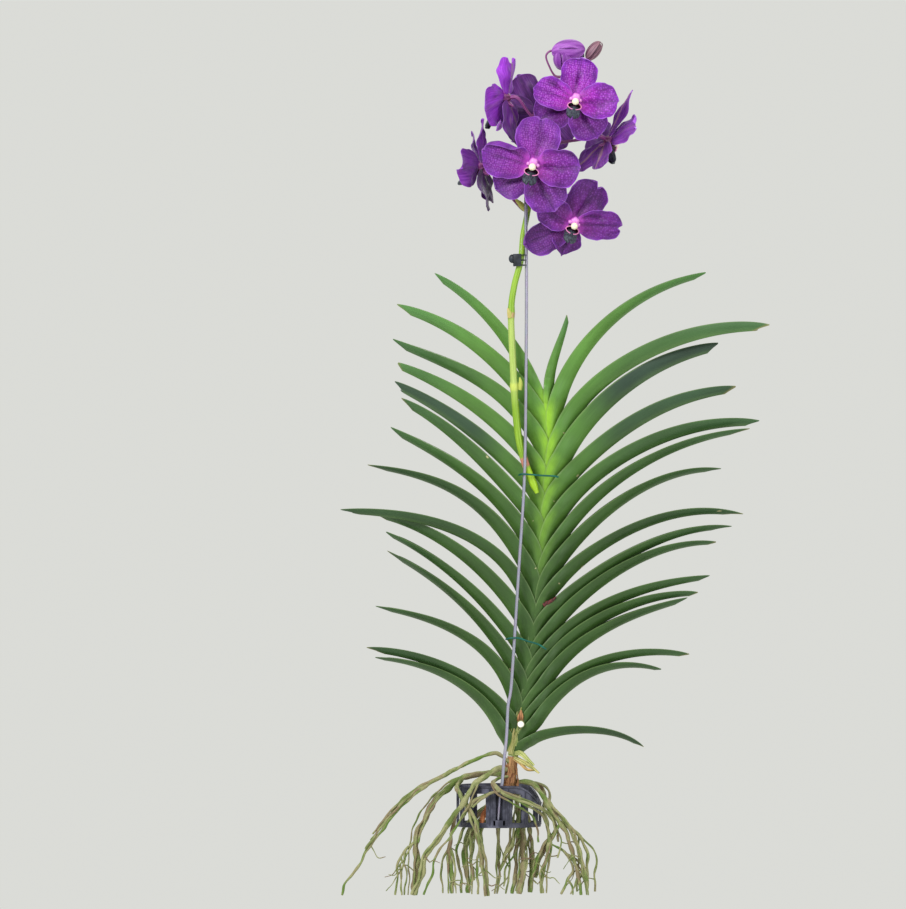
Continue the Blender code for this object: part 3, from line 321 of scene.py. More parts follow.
class Piece:
    """A mesh in the making. Each point carries three vectors that its material reads.

    span: how far along the part it lies (0 to 1), how far across it (-1 to 1), and 1 on its back face.
    plan: millimetres across and along the part, and a number of the part's own.
    tint: what the part's table says of its colour.
    A finish is a name in LOOKS.
    """

    def __init__(self, name):
        self.name = name
        self.points, self.faces, self.slots = [], [], []
        self.span, self.plan, self.tint = [], [], []
        self.finishes = []
        self.count = 0

    def add(self, points, faces, finish, span, plan, tint=NO_TINT):
        if finish not in self.finishes:
            self.finishes.append(finish)
        self.points.append(points)
        self.faces += [tuple(index + self.count for index in face) for face in faces]
        self.slots += [self.finishes.index(finish)] * len(faces)
        for store, values in ((self.span, span), (self.plan, plan), (self.tint, tint)):
            store.append(np.broadcast_to(np.asarray(values, float), (len(points), 3)))
        self.count += len(points)

    def skin(self, points, thick, finish, span, plan, tint=NO_TINT):
        """A thin closed body. points is a grid for its front face, and thick is one thickness or many."""
        rows, columns = points.shape[:2]
        normal = unit(np.cross(np.gradient(points, axis=0), np.gradient(points, axis=1)))
        back = points - normal * np.broadcast_to(np.asarray(thick, float), (rows, columns))[..., None]
        f = np.arange(rows * columns).reshape(rows, columns)
        b = f + rows * columns
        faces = []
        for corners in (
            (f[:-1, :-1], f[1:, :-1], f[1:, 1:], f[:-1, 1:]),
            (b[:-1, :-1], b[:-1, 1:], b[1:, 1:], b[1:, :-1]),
            (f[:-1, 0], b[:-1, 0], b[1:, 0], f[1:, 0]),
            (f[:-1, -1], f[1:, -1], b[1:, -1], b[:-1, -1]),
            (f[0, :-1], f[0, 1:], b[0, 1:], b[0, :-1]),
            (f[-1, :-1], b[-1, :-1], b[-1, 1:], f[-1, 1:]),
        ):
            faces.extend(zip(*(corner.ravel().tolist() for corner in corners)))
        span = np.array(span, float).reshape(-1, 3)
        behind = span.copy()
        behind[:, 2] = 1
        plan = np.array(plan, float).reshape(-1, 3)
        self.add(np.concatenate((points.reshape(-1, 3), back.reshape(-1, 3))), faces, finish,
                 np.concatenate((span, behind)), np.concatenate((plan, plan)), tint)

    def tube(self, route, radii, finish, sides=12, ridges=0, ridge_depth=0.0, twist=0.0, tint=NO_TINT,
             own=0.0, flat=1.0):
        """A round body along the route, whose radius follows radii. It may be ridged, or squeezed flat."""
        route = np.asarray(route, float)
        count = len(route)
        along = unit(np.gradient(route, axis=0))
        side = unit(np.cross(along[0], (0.3, 0.9, 0.2)))
        angles = np.linspace(0, 2 * math.pi, sides, endpoint=False)
        radii = stretched(radii, count)
        reach = distances(route)
        swell = 1 + ridge_depth * np.cos(ridges * angles)[:, None]
        rings = []
        for centre, way, radius, gone in zip(route, along, radii, reach):
            side = unit(side - way * np.dot(side, way))
            up = np.cross(way, side)
            turn = (angles + twist * gone)[:, None]
            rings.append(centre + radius * swell * (np.cos(turn) * side + flat * np.sin(turn) * up))
        faces = [(a, d, c, b) for a, b, c, d in ring_faces(count, sides)]
        faces.append(tuple(range(sides))[::-1])
        faces.append(tuple(range((count - 1) * sides, count * sides)))
        around = np.tile(angles / math.pi - 1, count)
        girth = np.repeat(radii, sides) * around * math.pi
        self.add(np.concatenate(rings), faces, finish, triples(np.repeat(reach / reach[-1], sides), around),
                 triples(girth, np.repeat(reach, sides), own), tint)

    def lump(self, centre, axis, radii, finish, sides=20, rows=14, tint=NO_TINT, own=0.0, ridges=0,
             ridge_depth=0.0, flat=1.0, pull=1.0):
        """A round body about a centre. radii holds its half length and radius. pull fills its ends."""
        way = unit(np.asarray(axis, float))
        angles = np.linspace(0.03, math.pi - 0.03, rows)
        route = np.asarray(centre, float) - way * (np.cos(angles) * radii[0])[:, None]
        girth = radii[1] * np.sin(angles) ** pull
        self.tube(route, girth, finish, sides, ridges, ridge_depth, tint=tint, own=own, flat=flat)

    def build(self, slot, *stands_for, sharp=50):
        """The finished object, riding on the frame in place of the solids it stands for."""
        mesh = bpy.data.meshes.new(self.name)
        mesh.from_pydata((np.concatenate(self.points) * MM).tolist(), [], self.faces)
        mesh.polygons.foreach_set("material_index", self.slots)
        for name in ("span", "plan", "tint"):
            field = mesh.attributes.new(name, "FLOAT_VECTOR", "POINT")
            field.data.foreach_set("vector", np.concatenate(getattr(self, name)).astype(np.float32).ravel())
        for finish in self.finishes:
            mesh.materials.append(LOOKS[finish])
        mesh.shade_smooth()
        mesh.set_sharp_from_angle(angle=math.radians(sharp))
        made = bpy.data.objects.new(self.name, mesh)
        bpy.context.scene.collection.objects.link(made)
        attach(made, "root")
        if stands_for:
            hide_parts(*stands_for)
        return made


class Value:
    """A number or colour that comes out of a material's node. A sum with it adds a node."""

    def __init__(self, look, socket):
        self.look, self.socket = look, socket

    def math(self, operation, first, second=0.0):
        return self.look.node("ShaderNodeMath", {0: first, 1: second}, operation=operation)

    def __mul__(self, other):
        return self.math("MULTIPLY", self, other)

    def __add__(self, other):
        return self.math("ADD", self, other)

    def __sub__(self, other):
        return self.math("SUBTRACT", self, other)

    def __rsub__(self, other):
        return self.math("SUBTRACT", other, self)

    def __abs__(self):
        return self.math("ABSOLUTE", self)

    def rise(self, low, high):
        """0 to 1 as it goes from low to high, which may lie either way round."""
        return self.look.node("ShaderNodeMapRange", {"Value": self, "From Min": low, "From Max": high},
                              interpolation_type="SMOOTHSTEP")

    def band(self, start, low, high, end):
        """1 from low to high, and 0 before start and past end."""
        return self.rise(start, low) * self.rise(end, high)

    def or_more(self, other):
        return self.math("MAXIMUM", self, other)

    def toward(self, share, colour):
        """This colour with a share of another in it."""
        return self.look.mix(share, self, colour)

    def shade(self, amount):
        """This colour made darker or lighter by a number about 1."""
        return self.look.mix(1.0, self, self.look.vector(amount, amount, amount), "MULTIPLY")


class Look:
    """A material made node by node. A colour is a Value, or red, green and blue from 0 to 255."""

    def __init__(self, name, **finish):
        self.made = bpy.data.materials.new(name)
        self.made.use_nodes = True
        self.tree = self.made.node_tree
        self.shader = self.tree.nodes["Principled BSDF"]
        self.fields = {}
        for socket, value in finish.items():
            self.shader.inputs[socket.replace("_", " ")].default_value = value

    def node(self, kind, sockets, output=0, **settings):
        made = self.tree.nodes.new(kind)
        for key, value in settings.items():
            setattr(made, key, value)
        for socket, value in sockets.items():
            self.plug(made.inputs[socket], value)
        return Value(self, made.outputs[output])

    def plug(self, socket, value):
        if isinstance(value, Value):
            self.tree.links.new(value.socket, socket)
        else:
            socket.default_value = rgb(*value) if isinstance(value, tuple) else value

    def field(self, name):
        """The three numbers of one of the points' own vectors: span, plan or tint."""
        if name not in self.fields:
            vector = self.node("ShaderNodeAttribute", {}, "Vector", attribute_name=name)
            self.fields[name] = [self.node("ShaderNodeSeparateXYZ", {0: vector}, axis) for axis in "XYZ"]
        return self.fields[name]

    def vector(self, x, y, z):
        return self.node("ShaderNodeCombineXYZ", {0: x, 1: y, 2: z})

    def place(self, across, along):
        """Where a point lies on its part, in units of which this many make a millimetre."""
        side, reach, own = self.field("plan")
        return self.vector(side * across, reach * along, own)

    def noise(self, place, detail, scale=1.0):
        return self.node("ShaderNodeTexNoise",
                         {"Vector": place, "Scale": scale, "Detail": detail, "Roughness": 0.5})

    def grain(self, across, along, detail, scale=1.0):
        """Noise over the part's own surface."""
        return self.noise(self.place(across, along), detail, scale)

    def cells(self, place, feature="F1", output="Distance", jitter=1.0):
        return self.node("ShaderNodeTexVoronoi", {"Vector": place, "Scale": 1.0, "Randomness": jitter},
                         output, feature=feature)

    def mix(self, share, first, second, blend_type="MIX"):
        return self.node("ShaderNodeMix", {0: share, 6: first, 7: second}, 2, data_type="RGBA",
                         blend_type=blend_type)

    def colour(self, value):
        self.plug(self.shader.inputs["Base Color"], value)

    def rough(self, value):
        self.plug(self.shader.inputs["Roughness"], value)

    def bump(self, height, strength, distance):
        self.plug(self.shader.inputs["Normal"], self.node(
            "ShaderNodeBump", {"Height": height, "Strength": strength, "Distance": distance * MM}))


def leaf_look():
    """Waxy strap leaf: lime at a young base, dark and bluish above, with fine streaks and a pale edge.

    tint is the leaf's youth, its darkness, and how slaty it turns towards its tip: partly its bluish upper
    face's colour, partly painted shade.
    """
    look = Look("leaf", Specular_IOR_Level=0.42, Coat_Weight=0.08, Coat_Roughness=0.35)
    along, across, back = look.field("span")
    youth, dark, slate_and_shade = look.field("tint")
    off_keel = abs(across)
    odd = look.field("plan")[2] * 0.618
    odd = odd.math("FRACT", odd)
    streaks = look.grain(1.5, 0.03, 3)
    patches = look.grain(0.06, 0.022, 2)
    under = look.mix(youth, (56, 90, 36), (88, 136, 54))
    under = under.toward(along.rise(0.35, 1.0), look.mix(youth, (56, 92, 48), (80, 128, 66)))
    green = look.mix(back, under, look.mix(youth, (40, 70, 50), (62, 104, 62)))
    # Slaty dark towards the tip: the upper face's bluish colour, and partly painted shade cast by the blades
    # above
    green = green.toward(slate_and_shade * along.rise(0.12, 0.5), (38, 62, 46))
    lime = along.rise(0.02, -0.4) * off_keel.rise(0.25, 0.85) * (youth * 0.95 + 0.04)
    lime = lime.or_more(along.rise(0.05, -0.3) * (youth * 0.25))
    green = green.toward(lime, (140, 190, 44))
    green = green.toward((1.0 - off_keel.rise(0.0, 0.5)) * 0.16, (140, 176, 96))
    green = green.toward(off_keel.rise(0.9, 1.0) * 0.45, (124, 150, 92))
    tan = off_keel.rise(0.16, 0.03) * odd.rise(0.72, 0.74) * dark.rise(0.25, 0.5)
    green = green.toward(tan * along.rise(0.05, 0.25), (172, 158, 122))
    dry = along.rise(0.975, 1.0) * odd.rise(0.45, 0.55)
    green = green.toward(dry * 0.7, (140, 132, 84))
    scar = look.cells(look.place(0.07, 0.028)).rise(0.075, 0.045) * odd.rise(0.35, 0.36)
    green = green.toward(scar * 0.85, (196, 186, 142))
    look.colour(green.shade(streaks * 0.5 + patches * 0.62 + 0.43 - dark * 0.24))
    look.rough(patches * 0.25 + 0.32)
    look.bump(streaks, 0.3, 0.3)
    return look.made


def petal_look(name, keel):
    """Violet tepal: a magenta claw, a chequered net of paler cells, and a bright edge with a pale rim.

    keel is how tan its midrib shows behind. tint is how magenta it is, partly a painted glow of light, how
    dark it is painted as shade, and how clearly its cells show.
    """
    look = Look(name, Roughness=0.52, Sheen_Weight=0.2, Sheen_Roughness=0.4, Subsurface_Weight=0.06,
                Subsurface_Scale=0.002, Specular_IOR_Level=0.3)
    along, across, back = look.field("span")
    side, reach, own = look.field("plan")
    magenta_and_glow, dark, net = look.field("tint")
    off_keel = abs(across)
    warp = look.grain(0.10, 0.10, 3)
    fan = side * (along.rise(0.6, 0.0) * 0.40 + 0.44) + warp
    place = look.vector(fan, reach * 0.46 + warp, own)
    heart = look.cells(place, jitter=0.65)
    edge = look.cells(place, "DISTANCE_TO_EDGE", jitter=0.65)
    outward = off_keel.rise(0.55, 1.0).or_more(along.rise(0.7, 1.0))
    # How magenta a tepal is: partly its own hue, and partly a painted glow where light falls on it
    body = look.mix(magenta_and_glow, (98, 32, 128), (140, 26, 172))
    body = body.toward(along.rise(0.65, 0.05), look.mix(magenta_and_glow, (110, 28, 124), (174, 24, 186)))
    body = body.toward(outward * 0.75, look.mix(magenta_and_glow, (112, 44, 158), (132, 42, 184)))
    spots = heart.rise(0.62, 0.12) * outward.rise(1.0, 0.15) * (along.rise(0.06, 0.25) * net)
    body = body.toward(spots * 0.46, look.mix(magenta_and_glow, (158, 96, 190), (206, 122, 236)))
    body = body.toward(edge.rise(0.14, 0.0) * 0.5, (72, 16, 80))
    veins = look.noise(look.vector(fan * 2.4, reach * 0.05, own), 2)
    body = body.toward(veins.rise(0.52, 0.40) * 0.35, (72, 16, 92))
    body = body.toward(along.rise(0.20, 0.04) * 0.75, (206, 84, 214))
    # A pale rim along the edges, partly a painted highlight where light catches them
    pale_rim_and_highlight = off_keel.rise(0.93, 1.0).or_more(along.rise(0.96, 1.0))
    body = body.toward(pale_rim_and_highlight * 0.65, (176, 104, 224))
    veined = veins.rise(0.34, 0.7)
    behind = look.mix(magenta_and_glow, look.mix(veined, (84, 28, 112), (112, 56, 138)),
                      look.mix(veined, (128, 32, 176), (158, 66, 204)))
    midrib = off_keel.rise(0.12, 0.03) * dark.rise(0.7, 0.3)
    behind = behind.toward(midrib * keel, (170, 132, 134))
    behind = behind.toward(pale_rim_and_highlight * 0.5, (150, 90, 190))
    # The tint's dark number is painted shade: it darkens the whole colour, and lightens it below 0
    look.colour(look.mix(back, body, behind).shade(warp * 0.7 + (0.62 - dark * 0.45)))
    look.bump(edge * 0.6 + veins, 0.45, 0.35)
    return look.made


def plain_look(name, low, high, scale, strength, depth, **finish):
    """Two colours in soft patches. scale is patches a millimetre, across and along."""
    look = Look(name, **finish)
    patches = look.grain(*scale, 3)
    look.colour(look.mix(patches.rise(0.35, 0.65), low, high))
    look.bump(patches, strength, depth)
    return look.made


def column_look():
    """Cream cap over a pink column. tint says how pink it is, and how yellow its mottles."""
    look = Look("column", Roughness=0.4, Subsurface_Weight=0.1, Subsurface_Scale=0.002)
    pink, yellow, _ = look.field("tint")
    mottle = look.grain(1, 1, 2, scale=0.8)
    base = look.mix(look.field("span")[0].rise(0.45, 1.0), (168, 46, 176), (232, 150, 226))
    base = look.mix(pink, (252, 246, 224), base)
    base = base.toward(yellow * mottle.rise(0.4, 0.7), (232, 214, 120))
    look.colour(base.shade(mottle * 0.2 + 0.88))
    return look.made


def lip_look():
    """Slaty blue lip with paler keels, and a dark cup with a pink edge. tint says whether it is the cup."""
    look = Look("lip", Roughness=0.42, Specular_IOR_Level=0.35)
    along = look.field("span")[0]
    mottle = look.grain(0.8, 0.3, 3)
    body = look.mix(mottle.rise(0.35, 0.7), (40, 36, 54), (72, 84, 92))
    body = body.toward(along.rise(0.25, 0.0), (84, 26, 66))
    throat = look.mix(along.rise(0.78, 0.97), (58, 12, 40), (210, 128, 176))
    look.colour(look.mix(look.field("tint")[0], body, throat))
    look.bump(mottle, 0.3, 0.3)
    return look.made


def stalk_look():
    """Ribbed flower stalk: reddish purple at the spike, paler towards the bloom."""
    look = Look("stalk", Roughness=0.42)
    along, across, _ = look.field("span")
    turn = across * (6 * math.pi)
    mottle = look.grain(0.6, 0.15, 2)
    body = look.mix(along.rise(0.1, 0.9), (92, 22, 78), (128, 44, 122))
    body = body.toward(turn.math("SINE", turn).rise(-0.2, 0.9) * 0.4, (190, 118, 172))
    look.colour(body.shade(mottle * 0.4 + 0.75))
    look.bump(mottle, 0.2, 0.2)
    return look.made


def spike_look():
    """Flower spike: bright green, paler and speckled midway, with a swollen node and two pinkish brown scars.

    tint is how far below the hook's seat a point lies, and how straw-coloured a bract is.
    """
    look = Look("spike", Roughness=0.38, Coat_Weight=0.1)
    below, bract, _ = look.field("tint")
    streaks = look.grain(0.9, 0.03, 3)
    streaky = streaks.rise(0.35, 0.65)
    middle = below.band(232, 240, 300, 330)
    colour = look.mix(middle, look.mix(streaky, (118, 158, 30), (146, 184, 52)),
                      look.mix(streaky, (156, 182, 84), (178, 200, 106)))
    specks = look.cells(look.place(0.45, 0.25)).rise(0.16, 0.08) * middle
    for share, paint in (
        (specks * 0.6, (132, 132, 84)),
        (below.band(300, 303, 307, 310) * 0.7, (202, 214, 96)),
        (below.band(230, 231.5, 235.5, 237) * streaks.rise(0.3, 0.6), (196, 138, 118)),
        (below.band(374, 377, 383, 386) * streaks.rise(0.3, 0.5), (206, 128, 116)),
        (below.rise(384, 388) * 0.7, (166, 206, 30)),
        (below.rise(110, 40) * 0.55, (128, 84, 96)),
        (bract, (196, 190, 96)),
    ):
        colour = colour.toward(share, paint)
    look.colour(colour)
    look.bump(streaks, 0.25, 0.3)
    return look.made


def root_look():
    """Aerial root: matt silver-green skin with tan weathered stretches and some living green.

    tint is how green and how brown it is.
    """
    look = Look("root", Roughness=0.78)
    green, brown, _ = look.field("tint")
    patches = look.grain(0.12, 0.05, 4)
    grain = look.grain(1.6, 0.25, 3)
    skin = look.mix(patches.rise(0.36, 0.56), (108, 120, 64), (158, 160, 112))
    skin = skin.toward(patches.rise(0.47, 0.60) * brown, (122, 100, 78))
    skin = skin.toward(patches.rise(0.54, 0.38) * green, (92, 124, 42))
    look.colour(skin.shade(grain * 0.85 + 0.52))
    look.bump(grain + patches, 0.5, 0.5)
    return look.made


def fibre_look():
    """Old sheath tissue: straw to orange brown in long fibres. tint is how brown and how dark it is."""
    look = Look("old_sheath", Roughness=0.8)
    brown, dark, _ = look.field("tint")
    fibres = look.grain(2.2, 0.06, 3)
    straw = look.mix(fibres.rise(0.35, 0.65), (112, 136, 44), (196, 202, 138))
    rust = look.mix(fibres.rise(0.38, 0.62), (104, 56, 32), (206, 150, 100))
    look.colour(look.mix(brown, straw, rust).shade(1.0 - dark * 0.5))
    look.bump(fibres, 0.6, 0.5)
    return look.made


def plastic_look(name, low, high):
    """Moulded plastic, low where it is clean and high where dust lies on it."""
    look = Look(name, Specular_IOR_Level=0.45)
    dust = look.grain(1, 1, 4, scale=0.09)
    look.colour(look.mix(dust.rise(0.42, 0.7), low, high))
    look.rough(dust * 0.3 + 0.34)
    look.bump(look.grain(1, 1, 2, scale=1.5), 0.12, 0.1)
    return look.made


def wire_look():
    """Dull galvanised wire with faint spangles."""
    look = Look("wire", Metallic=0.75)
    spangle = look.cells(look.place(0.5, 0.2), output="Color")
    streak = look.grain(1.2, 0.02, 3)
    look.colour(look.mix(0.04, (160, 158, 178), spangle).shade(streak * 0.4 + 0.78))
    look.rough(streak * 0.25 + 0.3)
    return look.made


LOOKS = {
    "leaf": leaf_look(),
    "petal": petal_look("petal", 0.1),
    "sepal": petal_look("sepal", 0.6),
    "column": column_look(),
    "lip": lip_look(),
    "stalk": stalk_look(),
    "spike": spike_look(),
    "root": root_look(),
    "fibre": fibre_look(),
    "bud": plain_look("bud", (122, 42, 150), (166, 92, 192), (0.3, 0.06), 0.25, 0.4, Roughness=0.45,
                      Sheen_Weight=0.2),
    "bud_dusky": plain_look("bud_dusky", (86, 50, 74), (162, 118, 130), (0.35, 0.03), 0.25, 0.3,
                            Roughness=0.5),
    "basket": plastic_look("basket_plastic", (44, 45, 60), (92, 93, 112)),
    "clip": plastic_look("clip_plastic", (20, 26, 34), (46, 54, 66)),
    "tie": plastic_look("tie_coating", (0, 84, 74), (10, 118, 100)),
    "bark": plain_look("bark", (122, 62, 30), (206, 132, 84), (0.7, 0.12), 0.7, 0.8, Roughness=0.85),
    "wire": wire_look(),
    "stub": plain_look("dark_stub", (44, 14, 20), (104, 40, 40), (0.4, 0.4), 0.4, 0.4, Roughness=0.7),
    "cut": plain_look("cut_root", (236, 232, 224), (252, 250, 246), (0.3, 0.3), 0.1, 0.1, Roughness=0.6),
}


def midrib(leaf):
    """The four points of the smooth curve through a leaf's four places."""
    places = (leaf.joint, leaf.third, leaf.two_thirds, leaf.tip)
    start, near, far, end = (at(*place) - (0, leaf.lean * share**2, 0)
                             for place, share in zip(places, (0, 1 / 3, 2 / 3, 1)))
    first = (-5 * start + 18 * near - 9 * far + 2 * end) / 6
    second = (2 * start - 9 * near + 18 * far - 5 * end) / 6
    return start, first, second, end


def across_frame(side, along):
    """Up out of a leaf's fold, and out to the front, for headings along it."""
    up = unit(side * np.cross(along, (0, 1, 0)))
    return up, side * np.cross(up, along)


def stem_right(below):
    """Where the stem's middle line lies, right of the hook's seat, at a depth below it."""
    rights, depths = zip(*STEM_LINE)
    return float(np.interp(below, depths, rights))


BLADE_ROWS, SHEATH_ROWS, LEAF_COLUMNS = 54, 16, 17
LEAF_LENGTH = 200
# A sheath's length, how wide it stands out at its foot and at the blade, how much wider on the right,
# how deep it cups at its foot, and how far round the stem each half of it clasps
SHEATH_REACH = 46
SHEATH_SPREAD = (3.4, 8.4)
RIGHT_BIAS = 1.2
SHEATH_CUP = 8.8
CLASP = math.radians(112)
# How round a leaf's keel is, and what brings the fold back to 0 at the keel and 1 at the margins
KEEL_ROUNDING, KEEL_START, KEEL_SPAN = 0.004, 0.063, 0.939
# A blade's tip, in shares of its length: how far it runs on, and how far a lobe and its corners fall short
TIP_PAST, LOBE_SHORT, CORNER_SHORT = 0.017, 0.06, 0.018
# How slaty a blade's outer face turns towards its tip, partly the bluish colour of its upper face and partly
# painted shade from the blades above, and how much further than its solid it rolls open
SLATE_AND_SHADE = {"leaf_right_02": 0.5, "leaf_right_03": 1.0, "leaf_right_04": 0.8, "leaf_right_05": 0.45,
         "leaf_right_06": 0.2, "leaf_right_08": 0.3, "leaf_right_16": 0.45, "leaf_left_03": 0.4,
         "leaf_left_05": 0.9, "leaf_left_06": 0.25, "leaf_left_08": 0.3, "leaf_left_09": 0.35,
         "leaf_left_14": 0.2}
MORE_ROLL = {"leaf_right_03": 14, "leaf_right_04": 8, "leaf_right_05": 8, "leaf_left_05": 12,
             "leaf_left_09": 8}


def soft_keel(across):
    """How far up a leaf's fold a point lies, from 0 at its rounded keel to 1 at either margin."""
    return (np.sqrt(across**2 + KEEL_ROUNDING) - KEEL_START) / KEEL_SPAN


def blade_grid(leaf, line, along, across, cut, ripple):
    """The outer face of a blade, and its half width. cut is how far its keel stops short of its lobes."""
    notch = cut * (1 - np.abs(across)) * along**5
    uneven = LOBE_SHORT * (1 - across) / 2 * along**9
    corner = CORNER_SHORT * np.abs(across) ** 8 * along**12
    t = np.clip(along + TIP_PAST * along**12 - notch - uneven - corner, 0, 1)
    place, heading = bezier(line, t)
    up, front = across_frame(leaf.side, heading)
    roll = math.radians(leaf.roll + MORE_ROLL.get(leaf.name, 0)) * ease(0.1, 0.8, t)
    roll = roll + math.radians(3) * np.sin(5.5 * t + ripple) * t
    cos, sin = np.cos(roll)[..., None], np.sin(roll)[..., None]
    up, front = up * cos + front * sin, front * cos - up * sin
    half = leaf.width * (1 - LEAF_NARROWING * t**1.7) * (1 - 0.22 * np.abs(across) ** 0.5 * along**26)
    fold = blend(FOLD_AT_BASE, math.radians(leaf.fold), t**0.7)
    soft = soft_keel(across)
    bow = 0.10 * np.sin(math.pi * soft) * ease(0, 0.2, t)
    rise = half * np.sin(fold) * (soft - 0.5 - bow * np.cos(fold))
    spread = half * np.cos(fold) * across + half * bow * np.sin(fold) * np.sign(across)
    clasping = SHEATH_SPREAD[1] + RIGHT_BIAS * (leaf.side == RIGHT)
    spread = blend(spread, clasping * np.sin(soft * CLASP) * np.sign(across), 1 - ease(0, 0.12, along))
    wave = 0.35 * np.sin(9 * along + ripple * 2 + across) * np.abs(across) ** 2 * ease(0.05, 0.4, along)
    return place + up * rise[..., None] - front * (spread + wave)[..., None], half


def sheath_grid(leaf, line, along, across):
    """The outer face of the sheath below a blade: its foot at 0, the blade at 1.

    It runs on past the stem's middle line before it turns down. A lower sheath stands further out than the
    one above it, and a right one further than the left one beside it, so that they overlap like a plait.
    """
    below = leaf.joint[1]
    end, heading = bezier(line, 0.0)
    foot_below = min(below + SHEATH_REACH, STEM_FOOT - 4)
    foot = at(stem_right(foot_below), foot_below)
    drop = foot_below - below
    near, far = end - heading * 0.42 * drop, foot + np.array((-leaf.side, 0, 0.35 * drop))
    centre, way = bezier((foot, far, near, end), along)
    up, front = across_frame(leaf.side, way)
    soft = soft_keel(across)
    turn = soft * CLASP
    flat = leaf.width * math.sin(FOLD_AT_BASE) * (soft - 0.5)
    rise = blend(-SHEATH_CUP * np.cos(turn), flat, ease(0.1, 0.8, along))
    spread = blend(*SHEATH_SPREAD, along) + RIGHT_BIAS * (leaf.side == RIGHT)
    spread = spread * np.sin(turn) * np.sign(across)
    return centre + up * rise[..., None] - front * spread[..., None]


def make_leaf(leaf, number):
    """One skin from the sheath's foot to the blade's tip."""
    chance = random.Random(SEED + number)
    ripple = chance.uniform(0, 6.3)
    line = midrib(leaf)
    across = np.linspace(-1, 1, LEAF_COLUMNS) * leaf.side
    low_along, low_across = lattice(np.linspace(0, 1, SHEATH_ROWS, endpoint=False), across)
    high_along, high_across = lattice(1 - (1 - np.linspace(0, 1, BLADE_ROWS)) ** 1.25, across)
    blade, half = blade_grid(leaf, line, high_along, high_across, chance.uniform(0.03, 0.10), ripple)
    points = np.concatenate((sheath_grid(leaf, line, low_along, low_across), blade))
    along = np.concatenate((low_along - 1, high_along))
    side = np.concatenate((low_across, high_across))
    width = np.concatenate((np.full_like(low_along, leaf.width), half))
    thick = LEAF_THICK * (1 - 0.5 * np.abs(side) ** 3) * (1 - 0.35 * ease(0.85, 1.0, along))
    youth = float(np.clip(1.15 - (leaf.joint[1] - 300) / 150, 0, 1))
    dark = float(np.clip((leaf.joint[1] - 380) / 200, 0, 1)) * chance.uniform(0.5, 1.0)
    piece = Piece(leaf.name)
    piece.skin(points, thick, "leaf", triples(along, side),
               triples(side * width, along * LEAF_LENGTH, 17.0 * number),
               (youth, dark, SLATE_AND_SHADE.get(leaf.name, 0)))
    piece.build("leaf", leaf.name)


STRIP_STEP, STRIP_COLUMNS = 2.0, 7


def curl_strip(piece, stops, widths, turn, finish, thick, tint, own, cup=0.3):
    """A narrow strip of tissue along a route, cupped across, whose width follows widths."""
    route = route_at(stops, STRIP_STEP)
    side = unit(np.cross(unit(np.gradient(route, axis=0)), turn))
    out = np.cross(side, unit(np.gradient(route, axis=0)))
    width = stretched(widths, len(route))[:, None] / 2
    across = np.linspace(-1, 1, STRIP_COLUMNS)
    grid = (route[:, None] + side[:, None] * (width * across)[..., None]
            - out[:, None] * (cup * width * across**2)[..., None])
    t, a = lattice(np.linspace(0, 1, len(route)), across)
    piece.skin(grid, thick, finish, triples(t, a), triples(a * width, t * STRIP_STEP * len(route), own), tint)


# The cut end of an old root that looks out between the sheaths, the scrap of sheath over it, and a dark stub
CUT_ROOT = ((-29.3, 641.7, 2), (-29.3, 641.5, 8), (-29.3, 641.7, 13.5))
CUT_SCRAP = ((-30, 639, 8), (-29.6, 634, 11), (-29, 628, 9.5))
DARK_STUB = ((-6, 523, 5), (1, 519, 8.5), (6.0, 515, 10))
# Torn sheaths at the stem's foot: their stops, their widths, and how brown they are
TORN_SHEATHS = (
    (((-36, 668, 3), (-28, 671, 8), (-22, 677, 10), (-16, 683, 10)), (6, 5, 3.5, 0.8), 0.12),
    (((-37, 674, 3), (-27, 679, 9), (-19, 684, 10), (-11, 691, 10)), (4, 4.5, 3, 0.6), 0.3),
    (((-36, 676, 4), (-29, 681, 8), (-23, 687, 9), (-14, 688, 10)), (3, 3, 2, 0.5), 0.7),
)
FOOT_STRIPS, CROWN_STRIPS = 46, 30


def make_stem():
    """The core inside the sheaths, its old fibrous foot, torn sheaths, a cut root and a stub."""
    chance = random.Random(SEED)
    piece = Piece("stem")
    piece.tube(route_at(STEM_LINE, 6), (2.6, 3.0, 3.2, 3.4, 5.2), "fibre", 18, tint=(0.0, 0.2, 0))
    for number in range(FOOT_STRIPS):
        low = chance.uniform(646, STEM_FOOT - 1)
        top = low - chance.uniform(12, 26)
        angle = chance.uniform(-math.pi, math.pi)
        radius = chance.uniform(5.0, 7.0)
        stops = []
        for share in (0, 0.5, 1):
            below = blend(low, top, share)
            turn = angle + 0.5 * share
            out = radius + (2.4 if share == 1 else 0) * chance.random()
            stops.append((stem_right(below) + out * math.sin(turn), below, out * math.cos(turn)))
        brown = float(ease(664, 690, low)) + 0.4 * chance.random() ** 4
        curl_strip(piece, stops, (5.5, 5, 0.8), (math.sin(angle), -math.cos(angle), 0), "fibre", 0.5,
                   (brown, 0.4 * chance.random(), 0), 5.0 * number)
    piece.tube(route_at(CUT_ROOT, 1.5), (4.4, 3.8, 3.75, 3.6), "root", 18, tint=(0.2, 0.6, 0))
    piece.lump(at(-29.3, 641.7, 13.3), (0, -1, 0), (0.7, 3.3), "cut", rows=8)
    curl_strip(piece, CUT_SCRAP, (6, 5.5, 0.8), (0, -1, 0.2), "fibre", 0.6, (1, 0.25, 0), 3.0)
    piece.tube(route_at(DARK_STUB, 1.5), (2.6, 2.4, 1.7, 0.8), "stub", 14)
    for number, (stops, widths, brown) in enumerate(TORN_SHEATHS):
        curl_strip(piece, stops, widths, (0.4, -1, 0.4), "fibre", 0.8, (brown, -0.3, 0), 9.0 * number, 0.8)
    piece.build("sheath", "stem")


